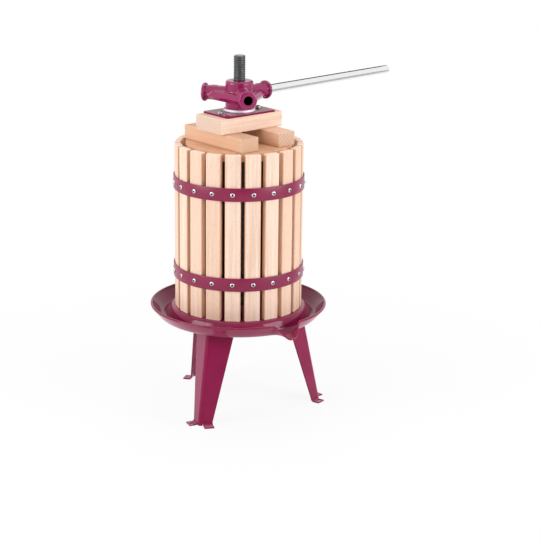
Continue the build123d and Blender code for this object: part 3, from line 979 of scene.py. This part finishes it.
class PRESS_OT_spindle(bpy.types.Operator):
    """Spindle: a screw with a rolled thread, a chamfered top and a plain tail"""

    bl_idname = "press.spindle"
    bl_label = "Spindle"

    steps = 32
    # Heights of the root's and of the crest's two edges in one turn, as shares of the pitch
    root_edges = (0.0, 0.16)
    crest_edges = (0.40, 0.74)
    chamfer = 2.0 * MM
    tail_ease = 1.5 * MM
    weld = 0.001 * MM
    bare_depth = 1.2 * MM

    def execute(self, context):
        sizes = context.scene.press_sizes
        low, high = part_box("spindle")
        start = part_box("lock_nut")[0][2]
        shape = bmesh.new()
        thread = self.add_thread(shape, start, high[2], sizes)
        self.add_tail(shape, thread, low[2], start)
        bmesh.ops.remove_doubles(shape, verts=shape.verts, dist=self.weld)
        bmesh.ops.holes_fill(shape, edges=shape.edges[:], sides=0)
        finishes = [metal("spindle_oiled"), metal("spindle_cut_end")]
        screw = settle("spindle_screw", shape, "stand", ["spindle"], finishes, crease=30)
        # The flat top takes the lighter steel, bare from the cut and with painted light from above
        for face in screw.data.polygons:
            at_top = face.center.z > high[2] - self.bare_depth
            face.material_index = int(at_top and face.normal.z > FACING)
        return {"FINISHED"}

    def add_thread(self, shape, start, top, sizes):
        """Adds the thread as a row of section points that climbs round the axis."""
        pitch = sizes.thread_pitch
        root = SPINDLE_RADIUS - sizes.thread_depth
        section = [(root, share) for share in self.root_edges]
        section += [(SPINDLE_RADIUS, share) for share in self.crest_edges]
        turns = int((top - start) / pitch) + 2
        rows = []
        for step in range(turns * self.steps + 1):
            turn = step * tau / self.steps
            row = []
            for reach, share in section:
                height = min(start + (step / self.steps + share) * pitch, top)
                reach = min(reach, SPINDLE_RADIUS - max(0.0, height - (top - self.chamfer)))
                row.append(Vector((reach * cos(turn), reach * sin(turn), height)))
            rows.append(add_ring(shape, row))
        for step in range(len(rows) - 1):
            join_rows(shape, rows[step], rows[step + 1], False)
            above = step + self.steps
            if above + 1 < len(rows):
                shape.faces.new((rows[step][-1], rows[step + 1][-1], rows[above + 1][0], rows[above][0]))
        return rows

    def add_tail(self, shape, thread, low, start):
        """Adds the plain tail and joins it to the first turn of the thread."""
        profile = [(0, low), (TAIL_RADIUS - self.tail_ease, low), (TAIL_RADIUS, low + self.tail_ease),
                   (TAIL_RADIUS, start)]
        shoulder = turn_profile(shape, profile, self.steps)[-1]
        for step in range(self.steps):
            after = shoulder[(step + 1) % self.steps]
            shape.faces.new((shoulder[step], after, thread[step + 1][0], thread[step][0]))
        shape.faces.new([shoulder[0], *thread[0], thread[self.steps][0]])


class PRESS_OT_spindle_anchor(bpy.types.Operator):
    """Spindle anchor: lock nut on the floor, plate, washer and nut under it"""

    bl_idname = "press.spindle_anchor"
    bl_label = "Spindle Anchor"

    slack = 0.1 * MM
    edge = 1.2 * MM

    def execute(self, context):
        plan = (
            ("lock_nut", "screw_steel", SPINDLE_RADIUS + self.slack, "spindle_oiled"),
            ("anchor_nut", "zinc_steel", TAIL_RADIUS + self.slack, "zinc_plating"),
        )
        for node, slot, reach, finish in plan:
            low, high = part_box(node)
            shape = bmesh.new()
            add_prism(shape, hexagon(high[1] - low[1]), Matrix.Translation(UP * low[2]), high[2] - low[2])
            nut = settle(f"{node}_hexagon", shape, "stand", [node], [metal(finish)])
            drill(nut, reach, low[2] - MM, high[2] + MM, crease=35)
            ease_edges(nut, self.edge)
        refinish("anchor_plate", paint("tray_paint"))
        refinish("anchor_washer", metal("zinc_plating"))
        return {"FINISHED"}


class PRESS_OT_slats(bpy.types.Operator):
    """Basket slats: planed beech staves with rounded edges"""

    bl_idname = "press.slats"
    bl_label = "Slats"

    # Warmth of the boards that the slats are sawn from, in turn
    board_warmths = (0.04, 0.10, 0.20, 0.0, 0.06)
    # Warmth of their narrow sides, warmed as painted bounce light between the slats
    sawn_warmth = 0.7

    def execute(self, context):
        for index in range(SLAT_COUNT):
            node = f"slat_{index + 1:02d}"
            outward = slat_heading(index)
            axes = (UP, UP.cross(outward), outward)
            shape = bmesh.new()
            add_board(shape, node, axes)
            lay_grain(shape, axes, index)
            wood = beech(self.board_warmths[index % len(self.board_warmths)])
            # The narrow sides take a warmer beech, painted bounce light between the slats
            finishes = [*wood, beech(self.sawn_warmth)[0], stained_beech()]
            slat = settle(f"{node}_stave", shape, "basket", [node], finishes)
            ease_edges(slat, context.scene.press_sizes.slat_rounding)
            # Faces that look into the basket take the painted shade
            for face in slat.data.polygons:
                if outward.dot(face.normal) < -FACING:
                    face.material_index = len(wood) + 1
                elif abs(axes[1].dot(face.normal)) > FACING:
                    face.material_index = len(wood)
        return {"FINISHED"}


class PRESS_OT_hoops(bpy.types.Operator):
    """Hoops: rolled steel bands round the slats"""

    bl_idname = "press.hoops"
    bl_label = "Hoops"

    thickness = 2.5 * MM
    edge = 0.7 * MM
    # How far the round band stands out of the solid's flats
    proud = 0.05 * MM

    def execute(self, context):
        for node in ("upper_hoop", "lower_hoop"):
            low, high = span(node, UP)
            outer = span(node, slat_heading(0))[1] + self.proud
            shape = bmesh.new()
            band = eased_ring(outer - self.thickness, outer, low, high, self.edge)
            turn_profile(shape, band, steps=200, hollow=True)
            settle(f"{node}_band", shape, "basket", [node], [paint("hoop_paint")])
        return {"FINISHED"}


class PRESS_OT_hoop_screws(bpy.types.Operator):
    """Hoop screws: a pan head with a cross recess on each slat"""

    bl_idname = "press.hoop_screws"
    bl_label = "Hoop Screws"

    radius = 4.8 * MM
    height = 3.0 * MM
    # How far each recess is turned from the one before it, in degrees
    turn = 37

    def execute(self, context):
        head = pan_head(self.radius, self.height)
        for hoop in ("upper_hoop", "lower_hoop"):
            shape = bmesh.new()
            for index in range(SLAT_COUNT):
                outward = slat_heading(index)
                seat = outward * span(hoop, outward)[1] + UP * sum(span(hoop, UP)) / 2
                turned = Matrix.Rotation(radians(self.turn * index), 4, "Z")
                stamp(shape, head, axes_at(seat, UP.cross(outward), outward) @ turned)
            settle(f"{hoop}_heads", shape, "basket", [f"{hoop}_screws"],
                   [metal("zinc_plating"), recess_shade()])
        return {"FINISHED"}


class PRESS_OT_boards(bpy.types.Operator):
    """Pressing boards: two half rounds, each of two planks"""

    bl_idname = "press.boards"
    bl_label = "Pressing Boards"

    split = 1.0 * MM
    seam = 79.0 * MM
    seam_width = 2.0 * MM
    seam_depth = 4.0 * MM
    groove_corner = 0.1 * MM
    groove_height = 20.0 * MM
    # Length of the groove's tool, as a multiple of the board's radius
    groove_reach = 2.2
    first_grain = 30
    rounding_share = 0.6

    def execute(self, context):
        across = heading(STACK_AZIMUTH)
        clear = SPINDLE_RADIUS + STACK_CLEARANCE
        for number, (node, side) in enumerate((("board_left", -1), ("board_right", 1))):
            low, high = span(node, UP)
            radius = max(abs(reach) for reach in span(node, across))
            rim = degrees(acos(self.split / radius))
            notch = degrees(acos(self.split / clear))
            outline = arc((0, 0), radius, -rim, rim, steps=60)
            outline += arc((0, 0), clear, notch, -notch, steps=16)
            outline = [(side * corner[0], corner[1]) for corner in outline]
            shape = bmesh.new()
            add_prism(shape, outline, stack_axes(low), high - low)
            board = settle(f"{node}_planks", shape, "press_head", [node], beech(1.0))
            groove = bmesh.new()
            place = stack_axes(high - self.seam_depth) @ Matrix.Translation((side * self.seam, 0, 0))
            length = self.groove_reach * radius
            trough = rounded_rectangle(self.seam_width, length, self.groove_corner, steps=1)
            add_prism(groove, trough, place, self.groove_height)
            cut(board, groove)
            self.regrain(board, self.first_grain + number)
            rounding = context.scene.press_sizes.block_rounding * self.rounding_share
            ease_edges(board, rounding, steps=2, angle=40)
        return {"FINISHED"}

    def regrain(self, board, number):
        """Lays the grain along the planks after the groove is cut."""
        shape = bmesh.new()
        shape.from_mesh(board.data)
        lay_grain(shape, (heading(STACK_AZIMUTH + 90), heading(STACK_AZIMUTH), UP), number)
        shape.to_mesh(board.data)
        shape.free()
        soften(board.data, crease=35)


class PRESS_OT_blocks(bpy.types.Operator):
    """Pressing blocks: two lower blocks and the top block across them"""

    bl_idname = "press.blocks"
    bl_label = "Blocks"

    # Timber: warmth, tone of the faces, tone of the ends and strength of the rings. The ends' tones are
    # darkened as painted shade, and the right block's face tone is raised as painted light against its shade
    timbers = {
        "lower_block_left": (0.85, 0.90, 0.80, 0.2),
        "lower_block_right": (0.5, 1.10, 0.78, 1.0),
        "top_block": (0.1, 1.0, 0.77, 0.25),
    }
    first_grain = 40
    pith = (0.3, -0.3)

    def execute(self, context):
        along = heading(STACK_AZIMUTH)
        across = heading(STACK_AZIMUTH + 90)
        for number, (node, timber) in enumerate(self.timbers.items()):
            axes = (along, across, UP) if node == "top_block" else (across, along, UP)
            shape = bmesh.new()
            add_board(shape, node, axes)
            lay_grain(shape, axes, self.first_grain + number, self.pith)
            block = settle(f"{node}_timber", shape, "press_head", [node], beech(*timber))
            ease_edges(block, context.scene.press_sizes.block_rounding)
        return {"FINISHED"}


class PRESS_OT_pressure_plate(bpy.types.Operator):
    """Pressure plate with its two screws and their washers"""

    bl_idname = "press.pressure_plate"
    bl_label = "Pressure Plate"

    corner = 3.5 * MM
    edge = 0.9 * MM
    screw_offset = 54.0 * MM
    screw_radius = 5.5 * MM
    washer_radius = 8.4 * MM
    washer_bore = 3.4 * MM
    washer_edge = 0.35 * MM
    # How far the two screws' recesses are turned, in degrees
    turns = {-1: -30, 1: 70}

    def execute(self, context):
        low, high = span("pressure_plate", UP)
        length = span("pressure_plate", heading(STACK_AZIMUTH))[1] * 2
        width = span("pressure_plate", heading(STACK_AZIMUTH + 90))[1] * 2
        shape = bmesh.new()
        add_prism(shape, rounded_rectangle(length, width, self.corner), stack_axes(low), high - low)
        plate = settle("pressure_plate_steel", shape, "press_head", ["pressure_plate"],
                       [paint("plate_paint")])
        drill(plate, SPINDLE_RADIUS + STACK_CLEARANCE, low - MM, high + MM, crease=35)
        ease_edges(plate, self.edge)
        seat, top = span("plate_washers", UP)
        head = pan_head(self.screw_radius, span("plate_screws", UP)[1] - top)
        ring = eased_ring(self.washer_bore, self.washer_radius, seat, top, self.washer_edge)
        washers = bmesh.new()
        heads = bmesh.new()
        for side, turn in self.turns.items():
            place = stack_axes(0) @ Matrix.Translation((side * self.screw_offset, 0, 0))
            turn_profile(washers, ring, steps=40, place=place, hollow=True)
            turned = Matrix.Rotation(radians(turn), 4, "Z")
            stamp(heads, head, place @ Matrix.Translation(UP * top) @ turned)
        settle("plate_washer_rings", washers, "press_head", ["plate_washers"],
               [metal("zinc_dull")])
        settle("plate_screw_heads", heads, "press_head", ["plate_screws"],
               [metal("zinc_dull"), recess_shade()])
        return {"FINISHED"}


class PRESS_OT_thrust_washer(bpy.types.Operator):
    """Thrust washer: the plain ring that the nut bears on"""

    bl_idname = "press.thrust_washer"
    bl_label = "Thrust Washer"

    slack = 0.6 * MM
    edge = 1.0 * MM

    def execute(self, context):
        low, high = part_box("thrust_washer")
        radius = (high[0] - low[0]) / 2
        shape = bmesh.new()
        ring = eased_ring(SPINDLE_RADIUS + self.slack, radius, low[2], high[2], self.edge)
        turn_profile(shape, ring, steps=96, hollow=True)
        settle("thrust_washer_ring", shape, "press_head", ["thrust_washer"],
               [metal("washer_plating")])
        return {"FINISHED"}


class PRESS_OT_nut(bpy.types.Operator):
    """Press nut: one casting of hub, web and three socketed arms"""

    bl_idname = "press.nut"
    bl_label = "Press Nut"

    hub_radius = 31.0 * MM
    hub_chamfer = 3.0 * MM
    slack = 0.08 * MM
    bore_chamfer = 2.0 * MM
    axis_height = 31.0 * MM
    arm_facets = 8
    arm_half_width = 15.5 * MM
    arm_end = 84.0 * MM
    flange_radius = 20.6 * MM
    flange_length = 9.0 * MM
    flange_back = 2.0 * MM
    flange_bead = 3.0 * MM
    flange_setback = 0.2 * MM
    socket_radius = 10.3 * MM
    socket_bottom = 32.0 * MM
    # How far a face of a socket may lie outside its radius, and how far its wall may lean
    socket_fit = 0.05 * MM
    socket_lean = 0.3
    web_reach = 74.0 * MM
    web_half_width = 13.0 * MM
    web_half_height = 10.0 * MM
    web_drop = 4.0 * MM
    web_inset = 5.0 * MM
    pad_distance = 58.0 * MM
    pad_size = (12.0 * MM, 9.0 * MM)
    pad_corner = 2.0 * MM
    pad_rise = 1.3 * MM
    kept_faces = 0.35

    def execute(self, context):
        sizes = context.scene.press_sizes
        low, high = span("press_nut", UP)
        axis = low + self.axis_height
        shape = bmesh.new()
        hub = [(0, low), (self.hub_radius, low), (self.hub_radius, high - self.hub_chamfer),
               (self.hub_radius - self.hub_chamfer, high), (0, high)]
        turn_profile(shape, hub, steps=72)
        self.add_web(shape, axis)
        for azimuth in ARM_AZIMUTHS:
            self.add_arm(shape, azimuth, axis)
        nut = settle("press_nut_casting", shape, "press_nut", ["press_nut"],
                     [paint("casting_paint")])
        cast = nut.modifiers.new("casting", "REMESH")
        cast.mode = "VOXEL"
        cast.voxel_size = sizes.casting_grain
        relax = nut.modifiers.new("fillets", "SMOOTH")
        relax.factor = 0.5
        relax.iterations = sizes.casting_smoothing
        thin = nut.modifiers.new("fewer faces", "DECIMATE")
        thin.ratio = self.kept_faces
        bake(nut)
        tools = bmesh.new()
        bore = SPINDLE_RADIUS + self.slack
        hole = [(0, low - MM), (bore, low - MM), (bore, high - MM),
                (bore + self.bore_chamfer, high + MM), (0, high + MM)]
        turn_profile(tools, hole, steps=64)
        for azimuth in ARM_AZIMUTHS:
            add_rod(tools, self.socket_radius, self.socket_bottom, self.arm_end + MM, steps=56,
                    place=self.arm_axes(azimuth, axis))
        cut(nut, tools)
        # Faces inside the sockets take the painted shade
        nut.data.materials.append(recess_shade())
        for face in nut.data.polygons:
            face.material_index = int(self.in_socket(face, axis))
        soften(nut.data, crease=40)
        return {"FINISHED"}

    def arm_axes(self, azimuth, axis):
        """Gives the frame of an arm, with its third axis along the arm."""
        outward = heading(azimuth)
        return axes_at(UP * axis, UP.cross(outward), outward)

    def in_socket(self, face, axis):
        """Tells whether a face is on the wall or the bottom of a socket."""
        for azimuth in ARM_AZIMUTHS:
            outward = heading(azimuth)
            reach = outward.dot(face.center)
            away = (face.center - outward * reach - UP * axis).length
            bottom = abs(reach - self.socket_bottom) < MM
            wall = reach > self.socket_bottom and abs(outward.dot(face.normal)) < self.socket_lean
            if away < self.socket_radius + self.socket_fit and (bottom or wall):
                return True
        return False

    def add_web(self, shape, axis):
        """Adds the web that joins the arms, thinner towards its edges."""
        level = axis - self.web_drop
        rows = []
        for drop, shrink in ((-1, self.web_inset), (0, 0), (1, self.web_inset)):
            corners = []
            for azimuth in ARM_AZIMUTHS:
                across = UP.cross(heading(azimuth))
                for side in (-1, 1):
                    corners.append(heading(azimuth) * (self.web_reach - shrink)
                                   + across * side * (self.web_half_width - shrink)
                                   + UP * (level + drop * self.web_half_height))
            rows.append(add_ring(shape, corners))
        join_all(shape, rows, True)
        shape.faces.new(rows[0][::-1])
        shape.faces.new(rows[-1])

    def add_arm(self, shape, azimuth, axis):
        """Adds one faceted arm with its end flange and its pad."""
        place = self.arm_axes(azimuth, axis)
        arm_radius = self.arm_half_width / cos(pi / self.arm_facets)
        facets = regular(self.arm_facets, arm_radius, turn=180 / self.arm_facets)
        add_prism(shape, facets, place, self.arm_end - MM)
        start = self.arm_end - self.flange_length
        end = self.arm_end - self.flange_setback
        bead = self.flange_bead
        rim = arc((self.flange_radius - bead, end - bead), bead, 0, 90, steps=4)
        flange = [(0, start), (self.flange_radius - self.flange_back, start),
                  (self.flange_radius, start + self.flange_back), *rim, (0, end)]
        turn_profile(shape, flange, steps=48, place=place)
        outward = heading(azimuth)
        pad = axes_at(outward * self.pad_distance + UP * axis, outward, UP)
        outline = rounded_rectangle(*self.pad_size, self.pad_corner, steps=4)
        add_prism(shape, outline, pad, self.arm_half_width + self.pad_rise)


class PRESS_OT_lever_bar(bpy.types.Operator):
    """Lever bar: a polished steel rod with chamfered ends"""

    bl_idname = "press.lever_bar"
    bl_label = "Lever Bar"

    radius = 10.0 * MM
    slack = 0.05 * MM
    edge = 1.5 * MM

    def execute(self, context):
        outward = heading(bar_azimuth())
        inner, outer = span("lever_bar", outward)
        outer -= self.slack
        axis = sum(span("lever_bar", UP)) / 2
        waist = self.radius - self.edge
        tip = arc((waist, outer - self.edge), self.edge, 15, 90, steps=4)
        rod = [(0, inner), (waist, inner), (self.radius, inner + self.edge),
               (self.radius, outer - self.edge), *tip, (0, outer)]
        shape = bmesh.new()
        turn_profile(shape, rod, steps=64, place=axes_at(UP * axis, UP.cross(outward), outward))
        settle("lever_bar_rod", shape, "lever_bar", ["lever_bar"], [metal("bar_polish")])
        return {"FINISHED"}


class PRESS_OT_stage(bpy.types.Operator):
    """Stage: white floor, soft light all around, cards for the reflections, and the camera"""

    bl_idname = "press.stage"
    bl_label = "Stage"

    # Softboxes: place to the right of the press, ahead of it and above the floor, as the camera sees it
    softboxes = {"key": (-2.2, -1.1, 1.2), "fill": (2.2, -1.1, 1.1), "top": (0.0, 0.4, 2.8)}
    softbox_size = 1.5
    # Cards for the bar: place along it, towards the camera and above the floor, length, width and shade
    bar_cards = {
        "flag_above": (0.53, -0.165, 0.91, 0.52, 0.21, 0.02),
        "flag_below": (0.92, 0.49, 0.25, 1.1, 0.75, 0.76),
    }
    bar_middle = 0.28
    # Card for the paint: place to the right, ahead and above the floor, length, width and shade
    front_card = (0.5, -3.0, 1.1, 2.0, 2.2, 0.02)
    card_corner = 0.01
    sensor_width = 36.0
    view_depth = 100.0
    floor_half_side = 15.0
    floor_drop = 0.2 * MM
    floor_shade = 0.9
    # The floor's shadow fades out between these distances, from this share of white
    shadow_reach = (0.35, 1.1)
    shadow_white = 0.90

    def execute(self, context):
        scene = context.scene
        studio = scene.press_studio
        scene.view_settings.view_transform = "Standard"
        self.add_camera(scene, studio)
        self.add_floor(scene)
        self.light_world(scene, studio.world_level)
        right = heading(degrees(studio.camera_azimuth) - 90)
        ahead = heading(degrees(studio.camera_azimuth))
        for name, (aside, onward, rise) in self.softboxes.items():
            place = right * aside + ahead * onward + UP * rise
            self.add_softbox(name, place, getattr(studio, f"{name}_power"))
        along = heading(bar_azimuth())
        side = heading(bar_azimuth() - 90)
        bar = UP * span("lever_bar", UP)[0] + along * self.bar_middle
        for name, (reach, aside, rise, *card) in self.bar_cards.items():
            self.add_flag(name, along * reach + side * aside + UP * rise, bar, along, *card)
        aside, onward, rise, *card = self.front_card
        self.add_flag("flag_front", UP * rise + right * aside + ahead * onward, UP * rise, right, *card)
        return {"FINISHED"}

    def add_camera(self, scene, studio):
        """Adds the camera."""
        camera = bpy.data.cameras.new("camera")
        camera.lens = studio.lens
        camera.sensor_width = self.sensor_width
        camera.clip_end = self.view_depth
        stand = bpy.data.objects.new("camera", camera)
        scene.collection.objects.link(stand)
        level = heading(degrees(studio.camera_azimuth))
        view = level * cos(studio.camera_pitch) - UP * sin(studio.camera_pitch)
        stand.location = studio.camera_place
        roll = Quaternion((0, 0, 1), studio.camera_roll)
        stand.rotation_euler = (view.to_track_quat("-Z", "Y") @ roll).to_euler()
        scene.camera = stand

    def add_softbox(self, name, place, power):
        """Adds a square soft lamp that looks at the press."""
        lamp = bpy.data.lights.new(name, "AREA")
        lamp.shape = "SQUARE"
        lamp.size = self.softbox_size
        lamp.energy = power
        stand = bpy.data.objects.new(name, lamp)
        bpy.context.scene.collection.objects.link(stand)
        aim = UP * (CAD_BOX[0][2] + CAD_BOX[1][2]) / 2 - place
        stand.location = place
        stand.rotation_euler = aim.to_track_quat("-Z", "Y").to_euler()

    def add_flag(self, name, place, target, along, length, width, shade):
        """Adds a card that only reflections see, for the lines in gloss and polish."""
        shape = bmesh.new()
        aim = target - place
        card = axes_at(place, along, (aim - along * aim.dot(along)).normalized())
        add_prism(shape, rounded_rectangle(length, width, self.card_corner, steps=2), card, MM)
        felt = bpy.data.materials.new(f"{name}_felt")
        surface = principled(felt)
        surface.inputs["Base Color"].default_value = colour([shade] * 3)
        surface.inputs["Roughness"].default_value = 1.0
        flag = settle(name, shape, finishes=[felt])
        flag.visible_camera = False
        flag.visible_diffuse = False
        flag.visible_transmission = False
        flag.visible_shadow = False

    def seen_rays(self, tree):
        """Gives 1 for the rays of the camera and of reflections, otherwise 0."""
        rays = put(tree, "ShaderNodeLightPath").outputs
        seen = sums(tree, "MAXIMUM", rays["Is Camera Ray"], rays["Is Glossy Ray"])
        return sums(tree, "MAXIMUM", seen, rays["Is Transmission Ray"])

    def blend(self, tree, share, first, second, end):
        """Ends a tree of nodes with a blend of two shaders."""
        mixer = put(tree, "ShaderNodeMixShader")
        mixed = feed_in_order(tree, mixer, share, first.outputs[0], second.outputs[0])
        feed(tree, put(tree, end).inputs["Surface"], mixed)

    def add_floor(self, scene):
        """Adds the white floor, which keeps the press's shadow."""
        shape = bmesh.new()
        bmesh.ops.create_grid(shape, x_segments=2, y_segments=2, size=self.floor_half_side)
        mesh = bpy.data.meshes.new("floor")
        shape.to_mesh(mesh)
        shape.free()
        floor = bpy.data.objects.new("floor", mesh)
        floor.location.z = -self.floor_drop
        scene.collection.objects.link(floor)
        white = bpy.data.materials.new("floor_white")
        white.use_nodes = True
        tree = white.node_tree
        tree.nodes.clear()
        matt = put(tree, "ShaderNodeBsdfDiffuse", Color=colour([self.floor_shade] * 3))
        glow = put(tree, "ShaderNodeEmission", Color=colour((1, 1, 1)), Strength=1.0)
        distance = put(tree, "ShaderNodeVectorMath", {"operation": "LENGTH"})
        feed(tree, distance.inputs[0], put(tree, "ShaderNodeTexCoord").outputs["Object"])
        near, far = self.shadow_reach
        clear = put(tree, "ShaderNodeMapRange", Value=distance.outputs["Value"], From_Min=near, From_Max=far,
                    To_Min=self.shadow_white, To_Max=1.0)
        share = share_of(tree, self.seen_rays(tree), clear.outputs[0])
        self.blend(tree, share, matt, glow, "ShaderNodeOutputMaterial")
        mesh.materials.append(white)

    def light_world(self, scene, level):
        """Gives the world a soft level for light and white for the rays that see it."""
        world = bpy.data.worlds.new("studio")
        world.use_nodes = True
        scene.world = world
        tree = world.node_tree
        tree.nodes.clear()
        soft, white = (put(tree, "ShaderNodeBackground", Color=colour((1, 1, 1)), Strength=strength)
                       for strength in (level, 1.0))
        self.blend(tree, self.seen_rays(tree), soft, white, "ShaderNodeOutputWorld")


PIECES = (
    PRESS_OT_tray,
    PRESS_OT_legs,
    PRESS_OT_leg_fasteners,
    PRESS_OT_spindle,
    PRESS_OT_spindle_anchor,
    PRESS_OT_slats,
    PRESS_OT_hoops,
    PRESS_OT_hoop_screws,
    PRESS_OT_boards,
    PRESS_OT_blocks,
    PRESS_OT_pressure_plate,
    PRESS_OT_thrust_washer,
    PRESS_OT_nut,
    PRESS_OT_lever_bar,
    PRESS_OT_stage,
)

SETTINGS = {"press_sizes": PressSizes, "press_colours": PressColours, "press_studio": PressStudio}


class PRESS_PT_pieces(bpy.types.Panel):
    """Lists the press's pieces and what can be changed on them"""

    bl_idname = "PRESS_PT_pieces"
    bl_label = "Fruit Press"
    bl_space_type = "VIEW_3D"
    bl_region_type = "UI"
    bl_category = "Press"

    def draw(self, context):
        for name in SETTINGS:
            values = getattr(context.scene, name)
            column = self.layout.column(align=True)
            for key in values.__annotations__:
                column.prop(values, key)
        for piece in PIECES:
            self.layout.operator(piece.bl_idname)


CLASSES = (*SETTINGS.values(), *PIECES, PRESS_PT_pieces)


def register():
    for kind in CLASSES:
        bpy.utils.register_class(kind)
    for name, kind in SETTINGS.items():
        setattr(bpy.types.Scene, name, PointerProperty(type=kind))


def unregister():
    for name in SETTINGS:
        delattr(bpy.types.Scene, name)
    for kind in reversed(CLASSES):
        bpy.utils.unregister_class(kind)


def main():
    register()
    bpy.ops.press.tray()
    bpy.ops.press.legs()
    bpy.ops.press.leg_fasteners()
    bpy.ops.press.spindle()
    bpy.ops.press.spindle_anchor()
    bpy.ops.press.slats()
    bpy.ops.press.hoops()
    bpy.ops.press.hoop_screws()
    bpy.ops.press.boards()
    bpy.ops.press.blocks()
    bpy.ops.press.pressure_plate()
    bpy.ops.press.thrust_washer()
    bpy.ops.press.nut()
    bpy.ops.press.lever_bar()
    bpy.ops.press.stage()


if __name__ == "__main__":
    main()
